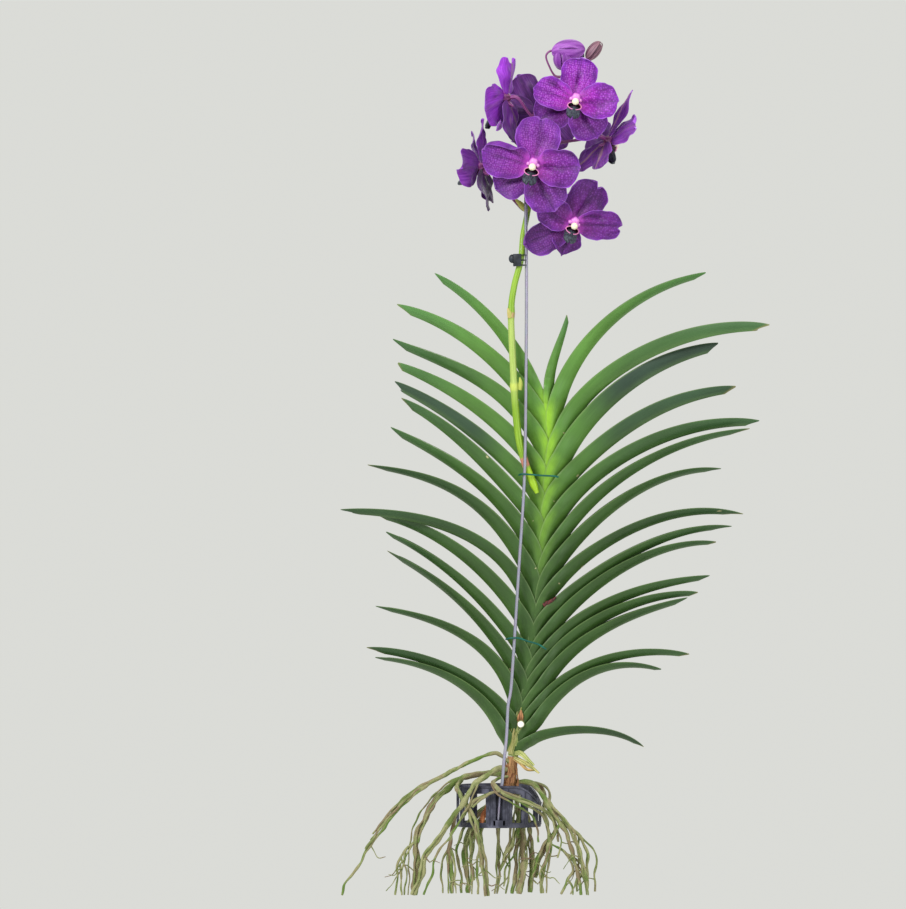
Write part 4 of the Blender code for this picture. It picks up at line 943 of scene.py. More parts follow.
class Face:
    """A bloom's own directions: where it faces, its top and its right, and the place of its middle."""

    def __init__(self, bloom):
        turn, pitch, roll = (math.radians(angle) for angle in (bloom.turn, bloom.pitch, bloom.roll))
        self.out = np.array((math.sin(turn) * math.cos(pitch), -math.cos(turn) * math.cos(pitch),
                             math.sin(pitch)))
        upright = unit(np.array((0, 0, 1)) - self.out * self.out[2])
        level = np.cross(upright, self.out)
        self.top = upright * math.cos(roll) + level * math.sin(roll)
        self.right = level * math.cos(roll) - upright * math.sin(roll)
        self.middle = at(*bloom.place)
        self.size = bloom.size

    def point(self, right, top, out):
        """The point or points these millimetres from the bloom's middle, along its own directions."""
        right, top, out = (np.asarray(value, float)[..., None] for value in (right, top, out))
        return self.middle + self.right * right + self.top * top + self.out * out

    def part(self, right, top, out):
        """The same for the column and lip, which grow with the bloom's size."""
        return self.point(*(np.multiply(value, self.size) for value in (right, top, out)))

    def route(self, stops, spacing):
        return smooth_route([self.part(*stop) for stop in stops], spacing)


# The colour of each bloom's tepals: how magenta, partly a painted glow where light falls; how dark, which is
# painted shade, and painted light below 0; how clearly the net shows
BLOOM_TINTS = {
    "bloom_front_top": (0.85, -0.04, 1.0),
    "bloom_front_middle": (0.35, 0.0, 0.9),
    "bloom_front_low": (0.12, 0.16, 0.8),
    "bloom_left_top": (1.0, -0.22, 0.6),
    "bloom_left_low": (0.6, 0.2, 0.5),
    "bloom_right": (0.15, -0.7, 0.6),
    "bloom_back": (0.0, 0.4, 0.4),
}
# How far a lip reaches out, as a share, and how much lower it hangs
LIPS = {"bloom_left_top": (1.5, 12.5), "bloom_left_low": (1.7, -2.0)}
# The shape of a tepal's end: a low power and a high root make a point
ROUND, POINTED, SQUARE = (2.7, 0.45), (1.5, 0.85), (6.0, 0.3)
# What sets a tepal apart, by bloom and role: the notch in its end (millimetres deep, off its middle, and
# wide), the degrees that its margins roll to the front (left and right as its tip is up), the shape of
# its end, its width as a share of the solid's, and how much more painted shade darkens it than its bloom
Detail = namedtuple("Detail", "notch folds ending slim shady", defaults=((0, 0, 1), (0, 0), ROUND, 1, 0))
DETAILS = {
    "bloom_front_top": {0: Detail(notch=(1.0, -3, 4)), 1: Detail(folds=(0, 60)),
                        2: Detail(notch=(1.5, 3, 3), folds=(30, 0))},
    "bloom_front_middle": {0: Detail(notch=(4.5, 0, 3)), 1: Detail(folds=(175, 0), slim=1.12),
                           2: Detail(folds=(0, 70))},
    "bloom_front_low": {0: Detail(notch=(5, 3.5, 2.2)), 1: Detail(folds=(50, 60)),
                        2: Detail(notch=(4, 2, 2.2), folds=(50, 30)), 3: Detail(folds=(60, 0)),
                        4: Detail(ending=POINTED)},
    "bloom_left_top": {0: Detail(notch=(12, 0, 7), folds=(60, 60), ending=SQUARE), 3: Detail(ending=POINTED),
                       4: Detail(shady=0.3)},
    "bloom_left_low": {0: Detail(ending=POINTED, slim=0.6), 1: Detail(notch=(4, 0, 4)),
                       2: Detail(folds=(30, 0), ending=POINTED),
                       3: Detail(folds=(30, 15), ending=POINTED, shady=0.85), 4: Detail(shady=0.85)},
    "bloom_right": {0: Detail(folds=(30, 0), slim=0.5), 1: Detail(notch=(6, 0, 5), ending=SQUARE, slim=0.75),
                    3: Detail(shady=0.3), 4: Detail(slim=0.8)},
    "bloom_back": {0: Detail(ending=POINTED, shady=0.3), 1: Detail(notch=(3, 0, 3))},
}
TEPAL_ROWS, TEPAL_COLUMNS = 40, 27
# Where a tepal is widest, how far across it the margins start to roll, as shares, and the roll's radius
WIDEST_AT = 0.56
ROLL_FROM, ROLL_RADIUS = 0.6, 1.6


def roll_margins(side, half, folds):
    """Where points lie across a tepal, and how far to its front, once its margins roll forward.

    folds are the angles in radians that the margins at across 1 and at across -1 roll through.
    """
    placed, lifted = side, np.zeros_like(side)
    for sign, fold in zip((1, -1), folds):
        past = np.clip(side * sign - ROLL_FROM * half, 0, None)
        turned = np.minimum(past / ROLL_RADIUS, fold)
        rest = past - turned * ROLL_RADIUS
        moved = ROLL_RADIUS * np.sin(turned) + rest * np.cos(turned) - past
        placed = placed + sign * moved
        lifted = lifted + ROLL_RADIUS * (1 - np.cos(turned)) + rest * np.sin(turned)
    return placed, lifted


def hollows(height):
    """How deep each point of a tepal lies below the points round it, in millimetres."""
    smooth = height
    for _ in range(8):
        wide = np.pad(smooth, 1, mode="edge")
        smooth = (wide[:-2, 1:-1] + wide[2:, 1:-1] + wide[1:-1, :-2] + wide[1:-1, 2:]) / 4
    return smooth - height


def tepal_grid(face, tepal, detail, along, across, phase):
    """The front face of a sepal or petal: the solid's form, with waves, creases, a notch and rolled margins.

    Also each point's millimetres across and along it, and how deep it lies in a hollow.
    """
    past = np.clip((along - WIDEST_AT) / (1 - WIDEST_AT), 0, 1)
    power, root = detail.ending
    swell = np.where(along < WIDEST_AT, np.sqrt(1 - 0.985 * ((along - WIDEST_AT) / WIDEST_AT) ** 2),
                     np.clip(1 - past**power, 0, 1) ** root)
    uneven = 1 + 0.022 * np.sin(13 * along + phase) + 0.014 * np.sin(29 * along + 2 * phase + across)
    half = tepal.width / 2 * swell * uneven
    side = half * across
    deep, middle, wide = detail.notch
    reach = tepal.length * (0.06 + 0.94 * along - 0.05 * along**4 * across**2)
    reach = reach - deep * np.exp(-(((side - middle) / wide) ** 2)) * along**8
    rise = tepal.length * (tepal.lean * along + tepal.bend * along**2)
    angle = math.radians(tepal.angle)
    wave = 0.035 * tepal.width * np.sin(6.5 * along + angle) * across
    crumple = 1.7 * np.sin(7 * along + 2.2 * across + phase) * ease(0.1, 0.5, along) * (0.35 + np.abs(across))
    ripple = 0.6 * np.sin(17 * along + 3 * across + phase) * np.abs(across) ** 3 * ease(0.15, 0.5, along)
    trough = -1.8 * np.exp(-((across / 0.12) ** 2)) * np.sin(math.pi * along)
    crease = across - 0.5 * math.cos(phase) - 0.45 * (along - 0.4)
    inner = np.sin(math.pi * np.clip(along * 1.25, 0, 1)) ** 2
    trough = trough - 3.0 * np.exp(-((crease / 0.13) ** 2)) * inner
    opening = ease(0.08, 0.55, along)
    placed, lifted = roll_margins(side, half, [math.radians(fold) * opening for fold in detail.folds])
    relief = wave + crumple + ripple + trough
    curl = tepal.curl * tepal.width * across**2 * along
    right = reach * math.sin(angle) + placed * math.cos(angle)
    top = reach * math.cos(angle) - placed * math.sin(angle)
    return face.point(right, top, tepal.offset + rise + relief + curl + lifted), side, reach, hollows(relief)


def add_tepals(piece, bloom, face, chance):
    magenta_and_glow, dark, net = BLOOM_TINTS[bloom.name]
    rows = 1 - (1 - np.linspace(0, 1, TEPAL_ROWS)) ** 1.7
    rows[-1] = 0.9995
    along, across = lattice(rows, -np.sin(np.linspace(-1, 1, TEPAL_COLUMNS) * math.pi / 2))
    for role, (shape, curve) in enumerate(zip(bloom.tepals, ROLES)):
        detail = DETAILS[bloom.name].get(role, Detail())
        tepal = Tepal(*shape, *curve)
        tepal = tepal._replace(width=tepal.width * detail.slim)
        grid, side, reach, hollow = tepal_grid(face, tepal, detail, along, across, chance.uniform(0, 6.3))
        thick = 1.05 * (1 - 0.6 * np.maximum(np.abs(across), along) ** 3)
        plan = triples(side, reach, chance.uniform(0, 90))
        rear = role in LOWER_SEPALS
        # Painted shade: lower sepals, tepals listed in DETAILS and blooms that lie in shade are darker
        shady = detail.shady + 0.22 * rear + chance.uniform(-0.05, 0.05)
        # Painted shade in a tepal's hollows, and a painted highlight on its ridges
        shade = (dark + shady + 1.1 * np.clip(hollow, -0.25, 0.5)).ravel()
        tint = triples(magenta_and_glow * (0.35 if rear else 1), shade, net)
        piece.skin(grid, thick, "petal" if role in PETALS else "sepal", triples(along, across), plan,
                   np.concatenate((tint, tint)))


def add_heart(piece, bloom, face, chance):
    """The lip with its cup, the column with its collar and cap, and the spur."""
    stretch, drop = LIPS.get(bloom.name, (1, 0))
    size = face.size
    pink = (1, 0, 0)
    along, across = lattice(np.linspace(0, 1, 24), np.linspace(1, -1, 17))
    half = blend(3.6, 6.3, ease(0, 0.32, along)) * np.clip(1 - ease(0.62, 1.02, along) ** 2, 0.02, 1) ** 0.35
    keels = 0.5 * np.cos(across * 7.5) * np.sin(math.pi * along) + 0.35 * np.cos(across * 15) * along
    end_cut = 2.4 * np.exp(-((across / 0.25) ** 2)) * along**8
    grid = face.part(half * across, -4.5 - (13.5 + drop) * along + end_cut,
                     3.5 + stretch * (19 * along - 7 * along**2) - 2.6 * across**2 + keels)
    piece.skin(grid, 1.3 * (1 - 0.4 * np.abs(across)), "lip", triples(along, across),
               triples(half * across, 22 * along, chance.uniform(0, 50)))
    depth, turn = lattice(np.linspace(0, 1, 10), np.linspace(-math.pi, math.pi, 49))
    wide = blend(4.8, 7.4, depth**0.7)
    tall = blend(2.8, 4.1, depth**0.7)
    lift = 0.9 * np.cos(turn * 2) * depth + 0.25 * np.sin(turn * 7) * depth**3
    grid = face.part(-wide * np.sin(turn), -5.2 - tall * np.cos(turn), 1.5 + 8 * depth + lift)
    piece.skin(grid, 0.9, "lip", triples(depth, turn / 3.2), triples(turn * 5, depth * 8), (1, 0, 0))
    piece.lump(face.part(0, -5.2, 2.6), face.out, (1.2, 6.0 * size), "lip", rows=8, flat=0.65)
    column = face.route(((0, 1.6, 0.5), (0, 2.0, 5), (0, 0.8, 9)), 0.8)
    piece.tube(column, np.array((4.6, 4.2, 3.7, 3.0)) * size, "column", 20, tint=pink)
    piece.lump(face.part(0, 4.0, 5.6), face.out - 0.15 * face.top, (3.4 * size, 4.6 * size), "column",
               sides=36, tint=pink, ridges=5, ridge_depth=0.06)
    for side in (LEFT, RIGHT):
        piece.lump(face.part(4.4 * side, 1.6, 5.0), face.out, (2.6 * size, 2.3 * size), "column", tint=pink,
                   sides=14, rows=10)
    piece.lump(face.part(0, -0.8, 10.4), face.out - 0.4 * face.top, (3.4 * size, 3.5 * size), "column",
               tint=(0.0, 0.45, 0))
    spur = face.route(((0, -2, 1), (0, -6, -3), (0, -9, -8)), 1.2)
    piece.tube(spur, np.array((3.0, 2.6, 1.9, 1.0)) * size, "stalk", 14)


def spike_place(below):
    """The middle of the flower spike at a depth below the hook's seat."""
    for lower, upper in zip(SPIKE_ROUTE, SPIKE_ROUTE[1:]):
        if upper[1] <= below:
            share = (below - lower[1]) / (upper[1] - lower[1])
            return at(*(blend(a, b, share) for a, b in zip(lower, upper)))
    return at(*SPIKE_ROUTE[-1])


# How far a bloom's stalk starts inside the place where its solid's does
STALK_SUNK = 2.2


def make_bloom(bloom, number):
    chance = random.Random(SEED * 7 + number)
    face = Face(bloom)
    piece = Piece(bloom.name)
    add_tepals(piece, bloom, face, chance)
    add_heart(piece, bloom, face, chance)
    hub = face.route(((0, 0, -5.5), (0, 0, -2), (0, 0, 2.5)), 0.9)
    piece.tube(hub, np.array((2.0, 4.4, 5.2, 4.6)) * bloom.size, "stalk", 18, 3, 0.06)
    joint_below, *bends = bloom.stalk
    joint = spike_place(joint_below)
    away = unit(at(*bends[0]) - joint)
    stops = [joint + away * (STALK_CLEAR - STALK_SUNK), *(at(*bend) for bend in bends), face.part(0, -1, -13),
             face.part(0, 0, -3)]
    piece.tube(smooth_route(stops, 1.6), (2.3, 1.5, 1.45, 1.6, 2.1), "stalk", 24, 6, 0.07, 0.05,
               own=3.0 * number)
    piece.build("petal", bloom.name)


def wrap_patch(piece, centre, axis, radii, lift, spread, start, stop, roll, finish, own):
    """A tepal of a closed bud: a patch wrapped round an egg from its foot towards its tip."""
    way = unit(np.asarray(axis, float))
    side = unit(np.cross(way, (0.1, 1, 0.1)))
    up = np.cross(way, side)
    t, a = lattice(np.linspace(0, 1, 22), np.linspace(-1, 1, 17))
    polar = blend(start, stop, t) * math.pi
    width = spread * np.sin(np.clip(t * 0.94 + 0.06, 0, 1) * math.pi) ** 0.5
    turn = roll + width * a
    shell = 1 + (lift + 0.5 * np.abs(a) ** 4) / radii[1]
    across = (radii[1] * np.sin(polar) * shell)[..., None]
    grid = (np.asarray(centre, float) - way * (np.cos(polar) * radii[0] * shell)[..., None]
            + across * (np.cos(turn)[..., None] * side + np.sin(turn)[..., None] * up))
    piece.skin(grid, 0.7, finish, triples(t, a), triples(a * width * radii[1], t * radii[0] * 2, own))


# The large bud: its heart and heading, the sepals round it (roll, lift and spread), the side lobe, its
# petals' rolls, the hood over both, and its stalk. Then the small bud's middle, heading and stalk.
BUD_HEART, BUD_AXIS = at(18.5, -31, 4), (1.0, 0, 0.10)
BUD_SEPALS = ((1.45, 1.6, 1.35), (-0.35, 0.9, 1.0), (3.5, 0.6, 1.15), (-1.7, 0.7, 0.8))
LOBE_PLACE, LOBE_PETALS, LOBE_ROLLS = at(12.5, -23.5, 6), at(13, -22.5, 6), (2.6, 0.6)
BUD_HOOD = ((9, -33, 12.5), (17, -35.5, 14), (25, -35, 12), (31.5, -31, 6))
BUD_STALK = ((13.9, -4.7, 8.5), (5, -6, 5), (-1, -16, 4), (-4, -26, 4), (1, -31, 4), (8, -29, 4))
SMALL_PLACE, SMALL_LEAN = at(44, -31, 4), math.radians(38)
SMALL_STALK = ((17.6, -5, 11), (28, -8, 8), (36, -18, 5), (41, -27, 4))


def make_large_bud():
    piece = Piece("bud_large")
    piece.lump(BUD_HEART, BUD_AXIS, (13.2, 8.4), "bud", sides=28, rows=20, own=1.0, pull=0.8)
    for number, (roll, lift, spread) in enumerate(BUD_SEPALS):
        wrap_patch(piece, BUD_HEART, BUD_AXIS, (14.0, 9.0), lift, spread, 0.06, 0.93, roll, "bud",
                   7.0 * number)
    piece.lump(LOBE_PLACE, (0.2, 0, 1), (9.5, 8.6), "bud", sides=24, rows=16, own=4.0, ridges=3,
               ridge_depth=0.08, flat=0.9, pull=0.7)
    for number, roll in enumerate(LOBE_ROLLS):
        wrap_patch(piece, LOBE_PETALS, (0.1, 0, -1), (9.8, 8.8), 0.5, 0.9, 0.1, 0.95, roll, "bud",
                   5.0 + number)
    piece.lump(at(30.8, -29.5, 6), (-0.35, 0, 1), (7.0, 2.8), "lip", rows=12)
    curl_strip(piece, BUD_HOOD, (2, 6.5, 6, 1), (0, -0.3, 1), "bud", 0.9, NO_TINT, 9.0, 0.5)
    piece.tube(route_at(BUD_STALK, 1.5), (1.5, 0.95, 0.95, 1.4), "stalk", 18, 6, 0.06)
    piece.build("bud", "bud_large")


def make_small_bud():
    piece = Piece("bud_small")
    lean = (math.sin(SMALL_LEAN), 0, math.cos(SMALL_LEAN))
    piece.lump(SMALL_PLACE, lean, (9.6, 5.0), "bud_dusky", sides=30, rows=20, own=2.0, ridges=5,
               ridge_depth=0.08, pull=0.8)
    for number in range(3):
        wrap_patch(piece, SMALL_PLACE, lean, (9.8, 5.3), 0.35, 0.85, 0.04, 0.96, 2.1 * number - 1.2,
                   "bud_dusky", 3.0 * number)
    piece.tube(route_at(SMALL_STALK, 1.5), (1.5, 1.2, 1.5), "stalk", 18, 6, 0.06)
    piece.build("bud_dusky", "bud_small")


# The spike's radius at its foot and its tip, its sides, and how much it swells at a node
SPIKE_RADII, SPIKE_SIDES, NODE_SWELL = (3.7, 2.3), 22, 0.75
# Each bract: its stops, its widths and how straw-coloured it is
BRACTS = (
    (((-21.5, 129.5, 14.5), (-27, 125, 15), (-32, 120, 14.5), (-35, 117, 13)), (5, 6, 4.5, 0.6), 0.8),
    (((-39.5, 236, 21.5), (-40.5, 231, 22), (-42.5, 226.5, 21)), (5, 4.5, 0.6), 0.4),
    (((-31, 308, 17), (-29.5, 301, 18), (-30.5, 295.5, 19)), (5, 4, 0.6), 0.3),
    (((-19, 99, 15), (-21, 94, 17), (-23, 90, 17)), (4, 4, 0.6), 0.6),
    (((-5, 48, 8), (-7, 43, 6), (-9, 40, 5)), (4, 4, 0.6), 0.5),
    (((12, 16, 13), (14, 12, 15), (14, 8, 16)), (4, 4, 0.6), 0.5),
)


def make_spike():
    """The flower spike with its swollen nodes and its bracts."""
    piece = Piece("flower_spike")
    route = route_at(SPIKE_ROUTE, 3)
    depth = -route[:, 2]
    radii = stretched(SPIKE_RADII, len(route)) * (0.55 + 0.5 * ease(412, 402, depth))
    for _, below, _ in SPIKE_NODES:
        radii = radii + NODE_SWELL * np.exp(-(((depth - below) / 4.5) ** 2))
    piece.tube(route, radii, "spike", SPIKE_SIDES, 5, 0.02, tint=triples(np.repeat(depth, SPIKE_SIDES), 0, 0))
    for number, (stops, widths, bract) in enumerate(BRACTS):
        curl_strip(piece, stops, widths, (0.1, -1, 0.1), "spike", 0.6, (stops[0][1], bract, 0),
                   6.0 * number, 0.5)
    piece.build("spike", "flower_spike")


HOOK_STEPS = 24


def make_wire():
    """The support wire: from the basket's socket up past the leaves, and round the hook at its top."""
    middle_below = HOOK_RADIUS - WIRE_RADIUS
    points = [*route_at(WIRE_ROUTE, 5), at(-HOOK_RADIUS, middle_below + 6)]
    for step in range(HOOK_STEPS + 1):
        angle = math.pi * step / HOOK_STEPS
        points.append(at(-HOOK_RADIUS * math.cos(angle), middle_below - HOOK_RADIUS * math.sin(angle)))
    points += [at(HOOK_RADIUS, middle_below + HOOK_TAIL - 1), at(HOOK_RADIUS, middle_below + HOOK_TAIL)]
    radii = np.full(len(points), WIRE_RADIUS)
    radii[-1] = WIRE_RADIUS * 0.7
    piece = Piece("hanging_wire")
    piece.tube(points, radii, "wire", 18)
    piece.build("wire", "hanging_wire", "wire_hook")


def make_ties():
    for name, stops in TIES.items():
        piece = Piece(name)
        piece.tube(route_at(stops, 1.5), (0.9, 0.9), "tie", 12)
        piece.build("tie", name)


BRICK_EDGE = 0.5


def brick(piece, centre, size, finish, turn=0.0):
    """A box with softened edges, turned about the vertical."""
    shape = bmesh.new()
    bmesh.ops.create_cube(shape, size=1)
    shape.transform(Matrix.Diagonal((*size, 1)))
    bmesh.ops.bevel(shape, geom=shape.edges[:], offset=BRICK_EDGE, segments=2, profile=0.5, affect="EDGES")
    shape.transform(Matrix.Translation(Vector(centre)) @ Matrix.Rotation(turn, 4, "Z"))
    shape.verts.index_update()
    points = np.array([vertex.co for vertex in shape.verts])
    faces = [tuple(vertex.index for vertex in face.verts) for face in shape.faces]
    shape.free()
    piece.add(points, faces, finish, MIDWAY, points)


JAW_STEPS, JAW_REACH = 24, 128


def make_clip(name, place, half_wide, half_deep, levels, wing):
    """A small sprung clip: open jaws round wire and stalk, with a rounded grip on one side."""
    centre = at(*place)
    piece = Piece(name)
    for level in levels:
        jaw = []
        for step in range(JAW_STEPS + 1):
            angle = math.radians(-JAW_REACH + 2 * JAW_REACH * step / JAW_STEPS)
            jaw.append(centre + (half_wide * math.cos(angle) * wing, half_deep * math.sin(angle), level))
        piece.tube(jaw, (0.5, 0.85, 0.85, 0.85, 0.5), "clip", 12)
    tall = levels[-1] - levels[0] + 2.4
    brick(piece, centre + (wing * (half_wide + 0.7), 0, 0), (2.2, 4.4, tall), "clip")
    brick(piece, centre + (wing * (half_wide - 2.4), -half_deep - 0.2, 0), (8, 1.8, tall), "clip")
    piece.lump(centre + (wing * (half_wide + 2.6), -1, 1.4), (0, 0, 1), (4.4, 3.7), "clip", flat=0.85)
    piece.build("clip", name)


def rim_drop(angle):
    """How far the rim sags at an angle from the front, in degrees to the right."""
    return RIM_DIP * ease(22, 78, angle) * (1 - ease(95, 140, angle))


def basket_point(angle, below, radius):
    turn = math.radians(angle)
    return at(BASKET_ACROSS + radius * math.sin(turn), below, radius * math.cos(turn) - BASKET_BACK)


HOOP_STEPS = 96
BAND_EDGE = 0.4
# The small lip round the rim: how far out and how far below the lip's top each corner lies
RIM_LIP = ((0.9, 0.5), (0.5, 0), (-0.4, 0), (-0.4, 2.2), (0.5, 2.2), (0.9, 1.8))
# Where the wire's socket stands in front, and how deep its middle and its foot lie
SOCKET_FRONT, SOCKET_MIDDLE, SOCKET_FOOT = 23.4, 727, 741


def hoop(piece, profile, heights):
    """A ring of the basket. profile lists how far out and how far below the ring's top each corner lies."""
    points = []
    for step in range(HOOP_STEPS):
        angle = 360 * step / HOOP_STEPS - 180
        points += [basket_point(angle, heights(angle) + low, BASKET_RADIUS + out) for out, low in profile]
    points = np.array(points)
    piece.add(points, ring_faces(HOOP_STEPS, len(profile), joined=True), "basket", MIDWAY, points)


def band(piece, tall, heights):
    """A flat ring as thick as the basket's wall, with its eight corners cut."""
    near, far = -BAND_EDGE, -BASKET_WALL + BAND_EDGE
    hoop(piece, ((0, BAND_EDGE), (near, 0), (far, 0), (-BASKET_WALL, BAND_EDGE),
                 (-BASKET_WALL, tall - BAND_EDGE), (far, tall), (near, tall), (0, tall - BAND_EDGE)), heights)


def make_basket():
    piece = Piece("basket")
    band(piece, RIM_BAND, lambda angle: BASKET_TOP + rim_drop(angle))
    hoop(piece, RIM_LIP, lambda angle: BASKET_TOP + rim_drop(angle) + 0.2)
    band(piece, FLOOR_BAND, lambda angle: BASKET_FLOOR - FLOOR_BAND)
    for rib in range(BASKET_RIBS):
        angle = 360 * (rib + 0.5) / BASKET_RIBS - 180
        reach = math.degrees(RIB_WIDTH / 2 / BASKET_RADIUS)
        turns = np.linspace(angle - reach, angle + reach, 7)
        depths = np.linspace(BASKET_TOP + rim_drop(angle) + 2, BASKET_FLOOR - 2, 8)
        grid = np.array([[basket_point(turn, depth, BASKET_RADIUS - 0.15) for turn in turns]
                         for depth in depths])
        flat = grid.reshape(-1, 3)
        piece.skin(grid, BASKET_WALL * 0.85, "basket", np.broadcast_to(MIDWAY, (len(flat), 3)), flat)
        keel = [basket_point(angle, depth, BASKET_RADIUS - 0.1) for depth in depths]
        piece.tube(keel, (0.7, 0.7), "basket", 8)
    for angle in (20, 65, 110, 155):
        brick(piece, at(BASKET_ACROSS, BASKET_FLOOR - 1.5, -BASKET_BACK),
              (2.6, 2 * BASKET_RADIUS - 2.4, 2.6), "basket", math.radians(angle))
    for side in (LEFT, RIGHT):
        brick(piece, at(BASKET_ACROSS + side * 4.9, SOCKET_MIDDLE, SOCKET_FRONT), (3.0, 9.0, 32), "basket")
    brick(piece, at(BASKET_ACROSS, SOCKET_FOOT, SOCKET_FRONT), (12.6, 9.0, 7.6), "basket")
    brick(piece, at(BASKET_ACROSS, SOCKET_MIDDLE, 19.6), (9.8, 1.4, 32), "basket")
    piece.build("basket", "basket", sharp=35)


BARK_ROWS, BARK_SIDES = 22, 14


def make_bark():
    """A slip of bark on the basket's floor, rough all round."""
    piece = Piece("bark_chip")
    chance = random.Random(SEED)
    points = []
    rings = zip(*(stretched(values, BARK_ROWS) for values in zip(*BARK_RINGS)))
    for right, below, front, wide, deep in rings:
        for step in range(BARK_SIDES):
            turn = 2 * math.pi * step / BARK_SIDES
            rough = 1 - 0.18 * chance.random()
            points.append(at(right + rough * wide / 2 * math.cos(turn), below,
                             front + rough * deep / 2 * math.sin(turn)))
    points = np.array(points)
    faces = ring_faces(BARK_ROWS, BARK_SIDES)
    faces.append(tuple(range(BARK_SIDES)))
    faces.append(tuple(range((BARK_ROWS - 1) * BARK_SIDES, BARK_ROWS * BARK_SIDES))[::-1])
    piece.add(points, faces, "bark", MIDWAY, points[:, (0, 2, 1)])
    piece.build("bark", "bark_chip")


# How many finer roots cross the others, where all of them end, and the main ones' thickness as a share of the
# solids'
CROSS_ROOTS = 44
ROOT_END = 810
ROOT_SLIM = 0.82
ROOT_STEP = 2.6
COMPANIONS = 3


def root_tube(piece, route, radii, chance, tint, sides):
    """A root whose thickness and course waver a little, with a blunt tip."""
    reach = distances(route)
    phase = chance.uniform(0, 6)
    fade = ease(0, 12, reach) * ease(0, 12, reach[-1] - reach)
    sway = 0.7 * np.sin(reach / 7 + phase) + 0.4 * np.sin(reach / 3.1 + 2 * phase)
    bob = 0.6 * np.sin(reach / 8.3 + 3 * phase)
    radius = stretched(radii, len(route))
    radius = radius * (1 + 0.14 * np.sin(reach / 4.3 + phase) + 0.10 * np.sin(reach / 1.9 + 2 * phase))
    radius[-1] *= 0.8
    piece.tube(route + triples(1.1 * sway * fade, bob * fade), radius, "root", sides, tint=tint,
               own=chance.uniform(0, 200))


def add_crown(piece, chance):
    """The brown fibrous base under the stem, that the roots grow from."""
    piece.tube(route_at(CROWN_ROUTE, 3), (4.8, 4.9, 6.0, 6.5), "fibre", 24, 7, 0.09, tint=(0.9, 0.15, 0))
    for number in range(CROWN_STRIPS):
        angle = chance.uniform(-math.pi, math.pi)
        low = chance.uniform(686, 710)
        stops = []
        for share in (0, 0.5, 1):
            below = blend(low, low - chance.uniform(8, 14), share)
            out = blend(4.9, 6.8, ease(686, 704, below)) + 1.3 * chance.random()
            turn = angle + 0.4 * share
            stops.append((-39 + out * math.sin(turn), below, out * math.cos(turn)))
        curl_strip(piece, stops, (3.5, 4, 0.8), (math.sin(angle), -math.cos(angle), 0), "fibre", 0.5,
                   (1, 0.5 * chance.random(), 0), 4.0 * number)


def make_roots():
    """The fibrous base, the main roots, and finer ones that follow them or cross between them."""
    chance = random.Random(SEED * 3)
    piece = Piece("roots")
    add_crown(piece, chance)
    for stops, start_radius, end_radius in ROOTS:
        tint = (chance.random() ** 1.5, chance.random(), 0)
        middle = blend(start_radius, end_radius, 0.5)
        radii = [radius * ROOT_SLIM for radius in (start_radius, middle, end_radius)]
        root_tube(piece, route_at(stops, ROOT_STEP), radii, chance, tint, 14)
    finer = []
    for stops, _, _ in ROOTS:
        whole = route_at(stops, ROOT_STEP)
        for _ in range(COMPANIONS):
            first = chance.uniform(0.0, 0.5)
            last = chance.choice((1.0, chance.uniform(0.6, 1.0)))
            route = whole[int(first * (len(whole) - 1)):int(last * (len(whole) - 1)) + 1]
            if len(route) < 12:
                continue
            drift = ease(0, 0.5, np.linspace(0, 1, len(route)))[:, None] * np.array(
                (chance.uniform(-11, 11), chance.uniform(-6, 6), 0))
            finer.append(route + drift)
            root_tube(piece, route + drift, (chance.uniform(0.8, 1.8), chance.uniform(0.6, 1.4)), chance,
                      (chance.random() ** 2, chance.random(), 0), 8)
    for _ in range(CROSS_ROOTS):
        start = chance.choice(finer)
        place = start[chance.randrange(len(start) // 2, len(start))]
        if place[2] > -BASKET_FLOOR:
            continue
        sway = chance.choice((LEFT, RIGHT))
        stops = [place]
        for _ in range(3):
            place = place + (sway * chance.uniform(3, 8), chance.uniform(-3, 3), -chance.uniform(-3, 9))
            if place[2] < -ROOT_END:
                break
            stops.append(place)
        if len(stops) > 2:
            root_tube(piece, smooth_route(stops, 2), (0.7, 0.4), chance, (0.1, 1, 0), 7)
    piece.build("root", "roots")


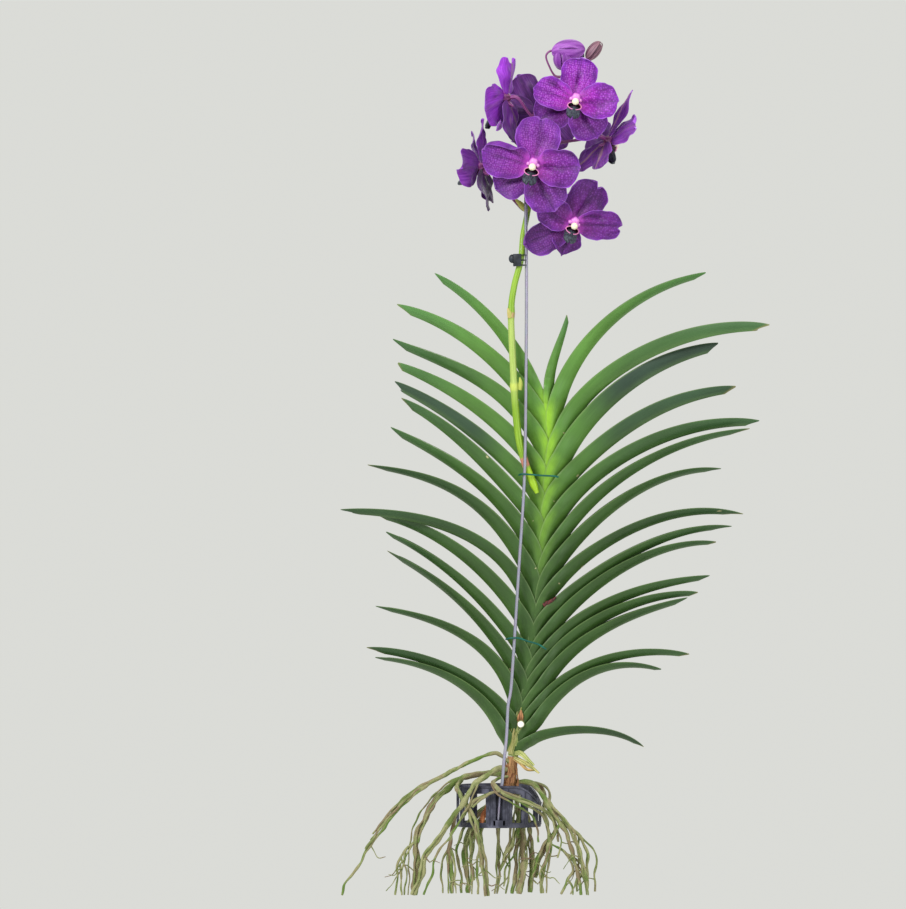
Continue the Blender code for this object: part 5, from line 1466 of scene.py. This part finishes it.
def make_floor():
    """A round pale floor under the plant, out of sight in a level view."""
    shape = bmesh.new()
    bmesh.ops.create_circle(shape, cap_ends=True, segments=96, radius=6)
    shape.transform(Matrix.Translation((0, 0, FLOOR_LEVEL * MM)))
    mesh = bpy.data.meshes.new("floor")
    shape.to_mesh(mesh)
    shape.free()
    look = Look("pale_floor", Roughness=0.9)
    look.colour((206, 207, 201))
    mesh.materials.append(look.made)
    floor = bpy.data.objects.new("floor", mesh)
    bpy.context.scene.collection.objects.link(floor)


# Each lamp: its place in metres, its size and its power. They all point at the plant's middle.
LAMP_AIM = (0, 0, -0.4)
LAMPS = (
    ("key", (-1.6, -2.4, 1.5), 1.3, 84),
    ("fill", (2.2, -2.2, 0.1), 2.0, 22),
    ("back", (0.8, 2.0, 1.4), 1.5, 30),
)


def make_studio():
    for name, place, size, power in LAMPS:
        light = bpy.data.lights.new(name, "AREA")
        light.size = size
        light.energy = power
        made = bpy.data.objects.new(name, light)
        made.location = Vector(place)
        made.rotation_euler = (Vector(LAMP_AIM) - Vector(place)).to_track_quat("-Z", "Y").to_euler()
        bpy.context.scene.collection.objects.link(made)
    world = bpy.data.worlds.new("studio")
    world.use_nodes = True
    background = world.node_tree.nodes["Background"]
    background.inputs["Color"].default_value = rgb(247, 248, 243)
    background.inputs["Strength"].default_value = 0.76
    bpy.context.scene.world = world
    bpy.context.scene.view_settings.view_transform = "Standard"


def make_camera():
    """Square to the front, from so far off that the plant keeps its measured outline."""
    camera = bpy.data.cameras.new("camera")
    camera.sensor_width = 36
    camera.sensor_fit = "AUTO"
    camera.lens = camera.sensor_width * CAMERA_AWAY / max(FRAME_WIDTH, FRAME_HEIGHT)
    camera.clip_end = 40
    made = bpy.data.objects.new("camera", camera)
    right = FRAME_WIDTH / 2 - SEAT_PIXEL[0]
    below = FRAME_HEIGHT / 2 - SEAT_PIXEL[1]
    made.location = Vector(at(right, below, CAMERA_AWAY)) * MM
    made.rotation_euler = (math.pi / 2, 0, 0)
    bpy.context.scene.collection.objects.link(made)
    bpy.context.scene.camera = made


make_camera()
for number, leaf in enumerate(LEAVES):
    make_leaf(leaf, number)
make_stem()
make_spike()
for number, bloom in enumerate(BLOOMS):
    make_bloom(bloom, number)
make_large_bud()
make_small_bud()
make_wire()
make_ties()
for clip in CLIPS:
    make_clip(*clip)
make_basket()
make_bark()
make_roots()
make_floor()
make_studio()
